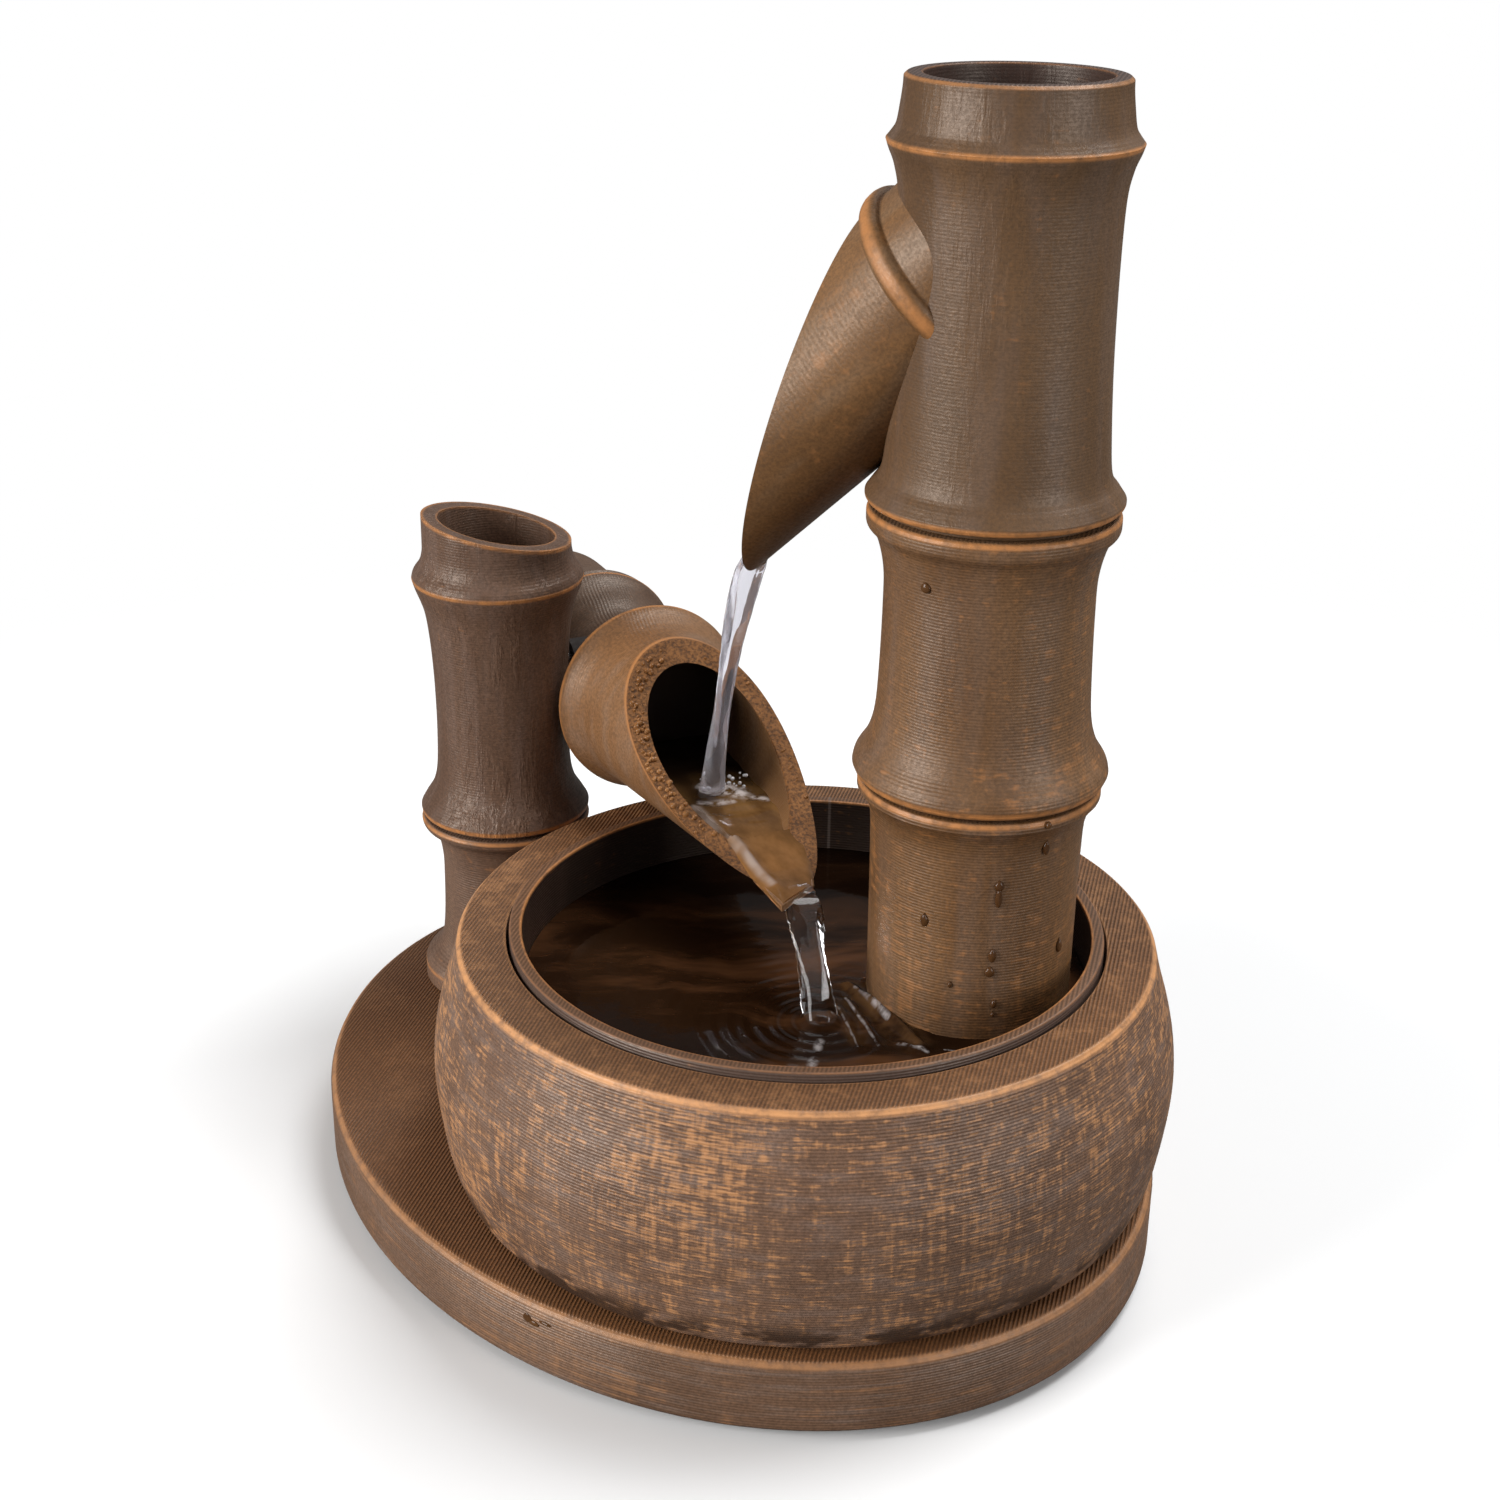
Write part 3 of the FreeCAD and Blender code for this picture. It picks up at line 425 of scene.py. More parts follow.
# A barrel-shaped printed shell with a flat rim, screwed down from below. Its side is brushed crosswise with
# copper paint, and a narrow shadow step parts it from the plate.
rim_height = 38.4
bowl_bore = 34.45
bowl_floor = 14.3
shell_side = smooth_run([(40.4, 10.1), (41.2, 11.1), (42.2, 14.7), (43.1, 21.9), (42.9, 26.7), (42.1, 30.7),
                         (40.9, 34.7), (40.1, 37.8)], 6)
shell_line = [(0, plate_height), (39.2, plate_height), (39.2, 10.1), *shell_side, (39.6, rim_height),
              (bowl_bore, rim_height), (bowl_bore, bowl_floor), (0, bowl_floor)]
shell = spun("bowl_side", eased(shell_line, 0.25), segments=256)
shell_skin = printed("bowl_print", (0.124, 0.067, 0.042), (0.178, 0.1, 0.063), (0.62, 0.3, 0.125),
                     rings=[(39.95, 38.1, 0.72, 1.0), (34.5, rim_height, 0.35, 0.5)], bare=0.575, dash=430.0,
                     layer=2900.0, stroke=1500.0, brushed=0.68, lines=2.2, side_lines=0.5, seed=2.0,
                     haze=0.45, haze_tone=(0.225, 0.16, 0.132), streak=(0.5, 0.5, 2.0),
                     top_tone=(0.152, 0.069, 0.029), foot_dark=(12.0, 15.0, (0.024, 0.01, 0.005)))
dress(shell, shell_skin, "stand", "bowl", "bowl_shell")

# The liner that holds the water: a thin cup that stands a little above the rim, with a worn upper edge. Its
# near-black inside is in part painted shade and in part wet plastic; its outer side is greyer and its top
# lighter. The dark gap round it is where it drops into the shell.
liner_r = 34.1
liner_in = 32.6
liner_floor = 15.9
liner_lip = 39.3
liner_line = [(0, bowl_floor), (liner_r, bowl_floor), (liner_r, liner_lip), (liner_in, liner_lip),
              (liner_in, liner_floor), (0, liner_floor)]
liner = spun("bowl_liner", eased(liner_line, 0.3), segments=256)
# Painted shade in part: near-black tones for the inside, a greyer tone for the outer side, a lighter top.
liner_skin = printed("liner_print", (0.013, 0.0065, 0.0042), (0.022, 0.011, 0.0072), copper_paint,
                     rings=[(34.0, 39.25, 0.22, 0.35), (32.72, 39.25, 0.32, 0.75)], bare=0.7, brushed=0.3,
                     lines=0.2, side_lines=0.6, rough=0.42, seed=4.0, haze=0.2,
                     haze_tone=(0.05, 0.028, 0.02), speckle=0.15, top_tone=(0.135, 0.068, 0.036),
                     outer_tone=(33.95, (0.085, 0.055, 0.043)))
tree = liner_skin.node_tree
shader = tree.nodes["Principled BSDF"]
# A thin pale upright line down the back wall of the liner.
pale_line_x = 2.7
parts = wire(tree, "ShaderNodeSeparateXYZ", {0: own_place(tree)[1]})
on_pale_line = number(tree, "ABSOLUTE", number(tree, "SUBTRACT", parts.outputs[0], pale_line_x * mm))
on_pale_line = number(tree, "MULTIPLY", ramp(tree, on_pale_line, 0.1 * mm, 0.25 * mm, 0.4, 0.0),
                 ramp(tree, parts.outputs[1], 0.0, 5 * mm))
under = shader.inputs["Base Color"].links[0].from_socket
tree.links.new(blended(tree, on_pale_line, under, (0.2, 0.16, 0.14)), shader.inputs["Base Color"])
dress(liner, liner_skin, "stand", "basin", "inner_basin")

# Three printed lengths, plugged into each other with a narrow groove under every ring. Each ring's edge is
# brushed bright. The pump stands in the lowest length, whose foot has slots that let the water in.
post_centre = (18.59, -4.09)
low_seam = 59.7
high_seam = 90.3
post_height = 133.8
post_bore = 6.5
pump_room = 9.6
post_brown = (0.108, 0.051, 0.021)
post_tan = (0.172, 0.089, 0.04)
low_side = smooth_run([(11.5, liner_floor), (11.55, 39.0), (11.7, 53.0), (12.05, 56.3), (12.8, 57.8),
                       (13.35, 58.5)])
low_line = [(pump_room, liner_floor), *low_side, (13.35, 59.2), (13.05, low_seam), (pump_room, low_seam),
            (pump_room, liner_floor)]
post_low = spun("post_foot", eased(low_line), post_centre)
for turn in (30.0, 150.0, 270.0):
    bpy.ops.object.select_all(action="DESELECT")
    bpy.ops.mesh.primitive_cube_add(size=1, location=(0, 0, 0))
    block = bpy.context.object
    settle(block, Matrix.Translation((post_centre[0] * mm, post_centre[1] * mm,
                                      (liner_floor + feet_height) * mm))
           @ Matrix.Rotation(math.radians(turn), 4, "Z") @ Matrix.Translation((10 * mm, 0, 0))
           @ Matrix.Diagonal((20 * mm, 5 * mm, 6 * mm, 1)))
    carve(post_low, block)
soften(post_low)
post_low_skin = printed("post_foot_print", (0.108, 0.05, 0.019), (0.168, 0.084, 0.034), copper_paint,
                        rings=[(13.3, 59.35, 0.5, 1.0)], centre=(*post_centre, 0), bare=0.6, dash=420.0,
                        layer=1700.0, stroke=900.0, brushed=0.4, side_lines=0.4, seed=5.0, haze=0.45,
                        wet=0.12, runs=0.5)
dress(post_low, post_low_skin, "stand", "tall_post", "post_lower")
mid_side = smooth_run([(13.98, 61.2), (13.68, 62.3), (12.48, 64.3), (11.7, 67.3), (11.4, 72.3),
                       (11.25, 79.3), (11.35, 83.5), (12.15, 86.9), (13.2, 88.3), (13.35, 89.1)])
mid_line = [(post_bore, 54.7), (9.55, 54.7), (9.55, low_seam), (12.2, low_seam), (12.2, 60.3), (13.58, 60.3),
            *mid_side, (13.35, 89.9), (13.05, high_seam), (8.45, high_seam), (8.45, 85.3), (post_bore, 85.3),
            (post_bore, 54.7)]
post_mid = spun("post_waist", eased(mid_line, 0.2), post_centre)
post_mid_skin = printed("post_waist_print", post_brown, post_tan, copper_paint,
                        rings=[(13.85, 60.75, 0.6, 1.0), (13.25, 89.95, 0.5, 0.95)],
                        centre=(*post_centre, 0), bare=0.62, dash=480.0, layer=1800.0, stroke=1000.0,
                        brushed=0.4, side_lines=0.3, seed=6.0, haze=0.45, runs=0.4)
dress(post_mid, post_mid_skin, "stand", "tall_post", "post_middle")
upper_side = [(13.23, 90.9), (13.58, 91.4),
              *smooth_run([(13.58, 91.8), (12.88, 92.8), (11.95, 94.3), (11.55, 98.3), (11.2, 105.9),
                           (11.1, 114.9), (11.25, 121.9), (11.75, 124.9), (12.4, 126.6), (12.7, 127.5)]),
              *smooth_run([(12.7, 127.5), (12.15, 128.2), (11.7, 129.0), (11.4, 130.8), (11.2, 132.4),
                           (11.15, 133.45)])[1:]]
upper_line = [(post_bore, 85.3), (8.4, 85.3), (8.4, high_seam), (12.2, high_seam), (12.2, 90.9), *upper_side,
              (10.8, post_height), (9.26, post_height), (9.26, 104.0), (post_bore, 104.0), (post_bore, 85.3)]
post_top = spun("post_top", eased(upper_line, 0.2), post_centre)
# Painted shade darkens the inside of the post's open top.
post_top_skin = printed("post_top_print", (0.092, 0.048, 0.022), (0.138, 0.075, 0.036), copper_paint,
                        rings=[(13.5, 91.3, 0.55, 1.0), (12.68, 127.4, 0.5, 0.95), (11.1, 133.7, 0.45, 0.6),
                               (9.3, post_height, 0.25, 0.3)],
                        centre=(*post_centre, 0), bare=0.7, dash=420.0, layer=1500.0, brushed=0.28,
                        side_lines=0.1, seed=8.0, haze=0.5, haze_tone=(0.145, 0.098, 0.075),
                        streak=(0.8, 0.8, 0.12), speckle=0.2, runs=1.0, top_tone=(0.062, 0.036, 0.028),
                        inner_shade_tone=(9.35, (0.047, 0.026, 0.02)))
dress(post_top, post_top_skin, "stand", "tall_post", "post_upper")

# A slanted tube with a collar where it meets the post, cut to a long oval mouth at the back. Its hollow stub
# goes through the post's wall into the plug that feeds it.


def axis_frame(origin, turn, rise):
    """Matrix whose Z runs along a tube and whose Y looks up. Turn from +X and rise from level in degrees."""
    t, e = math.radians(turn), math.radians(rise)
    ahead = Vector((math.cos(e) * math.cos(t), math.cos(e) * math.sin(t), math.sin(e)))
    side = Vector((-math.sin(t), math.cos(t), 0))
    made = Matrix((side, ahead.cross(side), ahead)).transposed().to_4x4()
    made.translation = Vector(origin) * mm
    return made


def cube_beyond(point, normal):
    """A large block on the far side of a plane, used only to cut with. Sizes in mm."""
    size = 120.0
    bpy.ops.object.select_all(action="DESELECT")
    bpy.ops.mesh.primitive_cube_add(size=size * mm, location=(0, 0, 0))
    block = bpy.context.object
    normal = Vector(normal).normalized()
    settle(block, Matrix.Translation((Vector(point) + normal * size / 2) * mm)
           @ normal.to_track_quat("Z", "Y").to_matrix().to_4x4())
    return block


def round_edges(piece, width, degrees):
    """Small rounds along the sharp edges that a cut leaves. Width in mm."""
    pick(piece)
    edge = piece.modifiers.new("edge", "BEVEL")
    edge.width = width * mm
    edge.segments = 3
    edge.limit_method = "ANGLE"
    edge.angle_limit = math.radians(degrees)
    bpy.ops.object.modifier_apply(modifier="edge")


spout_place = axis_frame((*post_centre, 119.5 + feet_height), 155.6, -43.5)
spout_line = [(0, 0.5), (10.4, 0.5), (10.4, 7.85), (10.85, 7.98), (11.25, 8.35), (11.4, 8.9), (11.4, 9.5),
              (11.25, 10.05), (10.85, 10.42), (10.4, 10.55), (10.4, 60.0), (8.2, 60.0), (8.2, 17.5),
              (0, 17.5)]
spout = spun("spout", eased(spout_line, 0.2), lift=0.0)
slant = math.radians(29.2)
carve(spout, cube_beyond((0, 0, 29.25), (0, math.cos(slant), math.sin(slant))))
settle(spout, spout_place)
carve(spout, spun("post_core", [(0, high_seam), *upper_side, (0, post_height)], post_centre))
round_edges(spout, 0.3, 42)
soften(spout)
spout_skin = printed("spout_print", (0.122, 0.058, 0.021), (0.195, 0.097, 0.038), copper_paint,
                     rings=[(11.4, 9.2, 1.15, 0.8)], frame_of_piece=spout_place, bare=0.66, dash=420.0,
                     layer=900.0, brushed=0.3, side_lines=0.12, layer_gap=0.6, seed=9.0, haze=0.4,
                     haze_tone=(0.2, 0.135, 0.085), streak=(1, 1, 0.3))
dress(spout, spout_skin, "stand", "spout", "spout")

# The lower, thinner post beside the bowl. It has a flange on the plate, a ring with a groove, and a slanted
# open rim. Runs of thickened paint stand out down its front, and the hinge pin of the tube sits in its side.
side_centre = (-40.5, 41.0)
side_low_line = [(0, plate_height), (11.5, plate_height),
                 *smooth_run([(11.5, 11.6), (11.0, 12.5), (9.3, 14.3), (8.7, 17.8), (8.5, 24.3), (8.6, 27.8),
                              (9.3, 30.7), (10.8, 32.0), (11.1, 32.8)]),
                 (10.8, 33.3), (5.5, 33.3), (5.5, 38.3), (0, 38.3)]
side_low = spun("side_post_foot", eased(side_low_line, 0.2), side_centre, segments=160)
side_low_skin = printed("side_post_foot_print", (0.1, 0.054, 0.034), (0.15, 0.086, 0.055), copper_paint,
                        rings=[(11.4, 11.4, 0.45, 0.6), (11.0, 32.95, 0.4, 0.9)], centre=(*side_centre, 0),
                        bare=0.66, brushed=0.32, side_lines=0.35, seed=12.0, haze=0.45, streak=(1, 1, 0.15))
dress(side_low, side_low_skin, "stand", "side_post", "side_post_lower")
side_high_line = [(5.55, 33.3), (10.0, 33.3), (10.0, 33.9), (11.0, 33.9),
                  *smooth_run([(11.1, 34.6), (10.4, 35.8), (9.4, 37.5), (8.8, 40.1), (8.6, 44.9),
                               (8.62, 49.9), (8.78, 54.4), (9.1, 58.6), (9.6, 62.0), (10.65, 65.0),
                               (11.0, 66.2)]),
                  *smooth_run([(11.0, 66.2), (10.75, 67.0), (9.98, 68.1), (9.58, 69.4), (9.48, 71.2),
                               (9.48, 78.2)])[1:],
                  (7.4, 78.2), (7.4, 60.0), (0, 60.0), (0, 38.8), (5.55, 38.8), (5.55, 33.3)]
side_high = spun("side_post_top", eased(side_high_line, 0.2), side_centre, segments=160)
rim_slope = (0.197, 0.042)
carve(side_high, cube_beyond((*side_centre, 72.65 + feet_height), (*rim_slope, 1)))
round_edges(side_high, 0.35, 50)
soften(side_high)
side_high_skin = printed("side_post_top_print", (0.1, 0.055, 0.035), (0.146, 0.084, 0.055), copper_paint,
                         rings=[(11.05, 34.3, 0.45, 1.0), (11.0, 66.1, 0.45, 0.9)], centre=(*side_centre, 0),
                         bare=0.7, brushed=0.28, side_lines=0.2, seed=13.0, haze=0.45,
                         haze_tone=(0.16, 0.106, 0.084), streak=(1.5, 1.5, 0.15), rough=0.4, runs=3.2,
                         rim=(rim_slope, [(9.45, 72.55, 0.5, 0.8), (7.45, 72.6, 0.3, 0.5)]))
side_high_skin.node_tree.nodes["Principled BSDF"].inputs["Specular IOR Level"].default_value = 0.36
dress(side_high, side_high_skin, "stand", "side_post", "side_post_upper")

# The tipping tube. Its mouth length has a ring at the back, tapers gently, and is scooped open by
# one long curved cut that runs out to a flat pouring lip. The cut face is rough and wet, and the
# bore behind it is closed.
tube_origin = (-21.4, 41.2)
tube_place = axis_frame((*tube_origin, 49.9 + feet_height), -63.4, 1.0)
tube_taper = 0.06
mouth_end = 48.0
mouth_bore, bore_straight = 8.75, 3.8
scoop_radius, scoop_up, scoop_along = 79.4, 69.3, 62.1


def tube_side(at):
    """Outer radius of the tapering mouth length."""
    return 11.05 - tube_taper * at


mouth_line = [(mouth_bore, -0.3), (12.1, -0.3), (12.4, 0.1), (12.4, 0.9),
              *smooth_run([(12.1, 1.5), (11.4, 2.9), (tube_side(5.5), 5.5), (tube_side(14), 14),
                           (tube_side(30), 30), (tube_side(mouth_end), mouth_end)]),
              (tube_side(mouth_end) - 2.3, mouth_end), (mouth_bore, bore_straight), (mouth_bore, -0.3)]
mouth = spun("tube_mouth", eased(mouth_line, 0.25), lift=0.0)
bpy.ops.object.select_all(action="DESELECT")
bpy.ops.mesh.primitive_cylinder_add(vertices=720, radius=scoop_radius * mm, depth=60 * mm,
                                    rotation=(0, math.pi / 2, 0),
                                    location=(0, scoop_up * mm, scoop_along * mm))
scoop = bpy.context.object
settle(scoop, scoop.matrix_world.copy())
carve(mouth, scoop)


def slab_of(corners, low, high):
    """A flat block with the given outline across the tube and along it, used to trim and to add the lip."""
    bpy.ops.object.select_all(action="DESELECT")
    bpy.ops.mesh.primitive_circle_add(vertices=len(corners), radius=mm, fill_type="NGON")
    block = bpy.context.object
    for vertex, (x, z) in zip(block.data.vertices, corners):
        vertex.co = (x * mm, low * mm, z * mm)
    bpy.ops.object.mode_set(mode="EDIT")
    bpy.ops.mesh.select_all(action="SELECT")
    bpy.ops.mesh.extrude_region_move(TRANSFORM_OT_translate={"value": (0, (high - low) * mm, 0)})
    bpy.ops.mesh.select_all(action="SELECT")
    bpy.ops.mesh.normals_make_consistent(inside=False)
    bpy.ops.object.mode_set(mode="OBJECT")
    return block


lip_from = 36.2
lip_middle = 0.9
for sign in (-1, 1):
    carve(mouth, slab_of([(sign * tube_side(lip_from), lip_from), (lip_middle + sign * 5.9, lip_from + 5.2),
                          (lip_middle + sign * 1.6, lip_from + 10.0), (lip_middle + sign * 1.6, 60.0),
                          (sign * 30.0, 60.0), (sign * 30.0, lip_from)], -20.0, 20.0))
carve(mouth, slab_of([(-3.6, 41.0), (-4.0, 49.6), (1.6, 46.2), (3.4, 41.0)], -8.2, -7.45), "UNION")
round_edges(mouth, 0.35, 40)
settle(mouth, tube_place)
soften(mouth, 45)

# The cut face has its own finish, rough, wet and beaded with water, so the print's material gets one more
# mask: how close a point is to the scoop's curve, read in the tube's own frame.
mouth_skin = printed("tube_mouth_print", (0.16, 0.073, 0.028), (0.225, 0.113, 0.05), copper_paint,
                     rings=[(12.4, 0.5, 0.55, 0.9)], frame_of_piece=tube_place, bare=0.72, dash=300.0,
                     brushed=0.3, side_lines=0.15, seed=15.0, haze=0.35, haze_tone=(0.24, 0.165, 0.12),
                     streak=(0.5, 0.5, 1.5))
tree = mouth_skin.node_tree
shader = tree.nodes["Principled BSDF"]
local = [n for n in tree.nodes if n.type == "MAPPING"][0].outputs[0]
parts = wire(tree, "ShaderNodeSeparateXYZ", {0: local})
from_y = number(tree, "SUBTRACT", parts.outputs[1], scoop_up * mm)
from_z = number(tree, "SUBTRACT", parts.outputs[2], scoop_along * mm)
to_scoop = hypotenuse(tree, from_y, from_z)
to_scoop = number(tree, "ABSOLUTE", number(tree, "SUBTRACT", to_scoop, scoop_radius * mm))
on_cut = ramp(tree, to_scoop, 0.2 * mm, 0.5 * mm, 1.0, 0.0)
cut_edge = number(tree, "MULTIPLY", ramp(tree, to_scoop, 0.2 * mm, 0.4 * mm),
                  ramp(tree, to_scoop, 0.5 * mm, 0.85 * mm, 1.0, 0.0))
bore = hypotenuse(tree, parts.outputs[0], parts.outputs[1])
bore = number(tree, "MULTIPLY_ADD", parts.outputs[2], tube_taper, bore)
inside = ramp(tree, bore, 8.85 * mm, 9.05 * mm, 1.0, 0.0)
pits = ramp(tree, noise(tree, local, 2400.0, (1, 1, 1), 3.0, 21.0, 0.6), 0.36, 0.6)
smear = ramp(tree, noise(tree, local, 300.0, (1, 1, 1), 2.0, 22.0), 0.35, 0.65)
cut_dark = blended(tree, smear, (0.05, 0.019, 0.006), (0.095, 0.038, 0.012))
cut_light = blended(tree, smear, (0.165, 0.064, 0.016), (0.25, 0.104, 0.03))
cut_tone = blended(tree, pits, cut_dark, cut_light)
# Painted shade: the bore is near-black deep inside and lighter on its floor towards the open end.
deep = ramp(tree, parts.outputs[2], 13 * mm, 31 * mm)
floor_cloud = ramp(tree, noise(tree, local, 160.0, (1, 1, 0.5), 3.0, 23.0), 0.35, 0.65)
floor_tone = blended(tree, floor_cloud, (0.11, 0.05, 0.017), (0.19, 0.092, 0.034))
inner_shade_tone = blended(tree, deep, (0.005, 0.0025, 0.0012), floor_tone)
outer = shader.inputs["Base Color"].links[0].from_socket
tone = blended(tree, inside, outer, inner_shade_tone)
tone = blended(tree, number(tree, "MULTIPLY", on_cut, 0.92), tone, cut_tone)
off_bore = number(tree, "SUBTRACT", 0.6, number(tree, "MULTIPLY", inside, 0.6))
tone = blended(tree, number(tree, "MULTIPLY", cut_edge, off_bore), tone, copper_paint)
tree.links.new(tone, shader.inputs["Base Color"])
bump = [n for n in tree.nodes if n.type == "BUMP"][0]
height = bump.inputs["Height"].links[0].from_socket
height = number(tree, "MULTIPLY_ADD", number(tree, "MULTIPLY", pits, on_cut), 2.4, height)
tree.links.new(height, bump.inputs["Height"])
dull = wire(tree, "ShaderNodeMix", {"Factor": on_cut, "A": shader.inputs["Roughness"].links[0].from_socket,
                                    "B": 0.8})
tree.links.new(dull.outputs["Result"], shader.inputs["Roughness"])
shader.inputs["Specular IOR Level"].default_value = 0.4
dress(mouth, mouth_skin, "tipping_tube", "tube", "tube_front")

# Behind the ring the tube narrows to clear the side post, then widens again to a second ring and a closed
# tail with a counterweight inside.
along = tube_place.to_3x3().col[2]
hinge_at = (side_centre[0] - tube_origin[0]) * along.x + (side_centre[1] - tube_origin[1]) * along.y
waist_line = [(5.9, 2.0), (8.7, 2.0), (8.7, -0.3), (11.2, -0.3),
              *smooth_run([(11.5, -0.8), (11.2, -1.3), (9.9, -2.5), (8.75, -4.0), (8.0, hinge_at + 2.2),
                           (7.85, hinge_at), (8.1, hinge_at - 2.3), (9.2, hinge_at - 4.8),
                           (10.1, hinge_at - 7.3), (11.1, -17.5), (11.4, -18.4)]),
              (11.2, -19.0), (5.9, -19.0), (5.9, 2.0)]
waist = spun("tube_waist_print", eased(waist_line, 0.15), lift=0.0)
settle(waist, tube_place)
soften(waist)
waist_skin = printed("tube_waist_skin", (0.07, 0.038, 0.022), (0.112, 0.062, 0.037), copper_paint,
                     rings=[(11.4, -0.8, 0.4, 0.8), (11.4, -18.4, 0.45, 0.9)], frame_of_piece=tube_place,
                     bare=0.72, brushed=0.25, side_lines=0.15, seed=17.0, haze=0.4, streak=(0.5, 0.5, 1.5),
                     rough=0.45)
dress(waist, waist_skin, "tipping_tube", "tube", "tube_waist")
tail_line = [(4.25, -15.6), (5.85, -15.6), (5.85, -19.0), (10.5, -19.0), (10.5, -19.6),
             *smooth_run([(11.0, -19.6), (11.3, -20.1), (10.9, -21.0), (10.25, -23.0), (9.85, -26.6),
                          (9.75, -30.6), (9.8, -34.2)]),
             (6.65, -34.2), (6.65, -21.2), (4.25, -21.2), (4.25, -15.6)]
tail = spun("tube_tail_print", eased(tail_line, 0.15), lift=0.0)
settle(tail, tube_place)
soften(tail)
dress(tail, waist_skin, "tipping_tube", "tube", "tube_tail")
cap_line = [(0, -36.0), (9.8, -36.0), (9.8, -34.2), (6.6, -34.2), (6.6, -33.0), (0, -33.0)]
cap = spun("tube_end_cap", eased(cap_line, 0.8), lift=0.0)
settle(cap, tube_place)
soften(cap)
dress(cap, waist_skin, "tipping_tube", "tube", "tail_cap")


# The hidden working parts keep their made shapes: rubber feet and gland, steel screws and pin, plastic bush,
# iron weight, black pump, pale hose, and the printed wall behind the tube's mouth. Each has a plain finish
# with a fine grain. The bush and the wall behind the mouth are near-black, painted shade where they show.
def workshop(name, colour, metal, rough, grain, bumpy):
    """One finish for a bought part, with a little mottling and tooling."""
    made = bpy.data.materials.new(name)
    made.use_nodes = True
    tree = made.node_tree
    shader = tree.nodes["Principled BSDF"]
    spot = wire(tree, "ShaderNodeTexCoord").outputs["Object"]
    mottle = noise(tree, spot, grain, (1, 1, 1), 3.0, 31.0)
    dim = tuple(0.7 * c for c in colour)
    tree.links.new(blended(tree, mottle, dim, colour), shader.inputs["Base Color"])
    tree.links.new(ramp(tree, mottle, 0.2, 0.8, rough - 0.08, rough + 0.08), shader.inputs["Roughness"])
    shader.inputs["Metallic"].default_value = metal
    bump = wire(tree, "ShaderNodeBump", {"Strength": 0.3, "Distance": bumpy * mm, "Height": mottle})
    tree.links.new(bump.outputs[0], shader.inputs["Normal"])
    return made


finishes = {
    "feet": workshop("rubber_feet", (0.02, 0.02, 0.021), 0.0, 0.75, 2500.0, 0.03),
    "seal": workshop("gland_rubber", (0.025, 0.024, 0.023), 0.0, 0.6, 2500.0, 0.02),
    "screw": workshop("screw_steel", (0.55, 0.55, 0.56), 1.0, 0.3, 1800.0, 0.01),
    "axle": workshop("pin_steel", (0.6, 0.6, 0.61), 1.0, 0.25, 1800.0, 0.01),
    # Dark plastic, darkened further to brown-black: painted shade where the bush shows between side post and
    # tube.
    "bush": workshop("bush_plastic_painted_shade", (0.014, 0.008, 0.006), 0.0, 0.85, 1800.0, 0.01),
    "weight": workshop("weight_iron", (0.2, 0.2, 0.2), 1.0, 0.5, 1200.0, 0.03),
    "pump": workshop("pump_plastic", (0.022, 0.022, 0.025), 0.0, 0.5, 2200.0, 0.02),
    "hose": workshop("hose_rubber", (0.45, 0.45, 0.44), 0.0, 0.35, 900.0, 0.01),
    # Painted shade: the wall at the back of the tube's bore is near-black.
    "tube": workshop("bulkhead_painted_shade", (0.01, 0.005, 0.003), 0.0, 0.4, 900.0, 0.02),
}
for part in frame["record"]["subparts"]:
    piece = nodes[part["node"]]
    if not piece.hide_render:
        piece.data.materials.clear()
        piece.data.materials.append(finishes[part["material_slot"]])


# Water in the bowl, dark over the dark liner, with rings spreading from where the lower stream falls in and
# folds of water running from there round the post. Painted highlights mark the crests of the folds as pale
# glints, a painted amber reflection of the post lies along them, and painted shade darkens the water towards
# the back.
glint_line, start, end = group("glint line", [
    ("Position", "NodeSocketVector", None), ("From", "NodeSocketVector", (0, 0, 0)),
    ("To", "NodeSocketVector", (0, 0, 0)), ("Width", "NodeSocketFloat", 0.001)],
    [("Mask", "NodeSocketFloat")])
span = wire(glint_line, "ShaderNodeVectorMath", {0: start.outputs["To"], 1: start.outputs["From"]},
            operation="SUBTRACT").outputs[0]
gone = wire(glint_line, "ShaderNodeVectorMath", {0: start.outputs["Position"], 1: start.outputs["From"]},
            operation="SUBTRACT").outputs[0]
along_it = wire(glint_line, "ShaderNodeVectorMath", {0: gone, 1: span}, operation="DOT_PRODUCT")
along_it = along_it.outputs["Value"]
whole = wire(glint_line, "ShaderNodeVectorMath", {0: span, 1: span},
             operation="DOT_PRODUCT").outputs["Value"]
share = number(glint_line, "DIVIDE", along_it, whole, clamp=True)
reached = wire(glint_line, "ShaderNodeVectorMath", {0: span, "Scale": share}, operation="SCALE").outputs[0]
aside = wire(glint_line, "ShaderNodeVectorMath", {0: gone, 1: reached},
             operation="DISTANCE").outputs["Value"]
aside = number(glint_line, "DIVIDE", aside, start.outputs["Width"])
glint_line.links.new(ramp(glint_line, aside, 0.1, 1.0, 1.0, 0.0), end.inputs["Mask"])


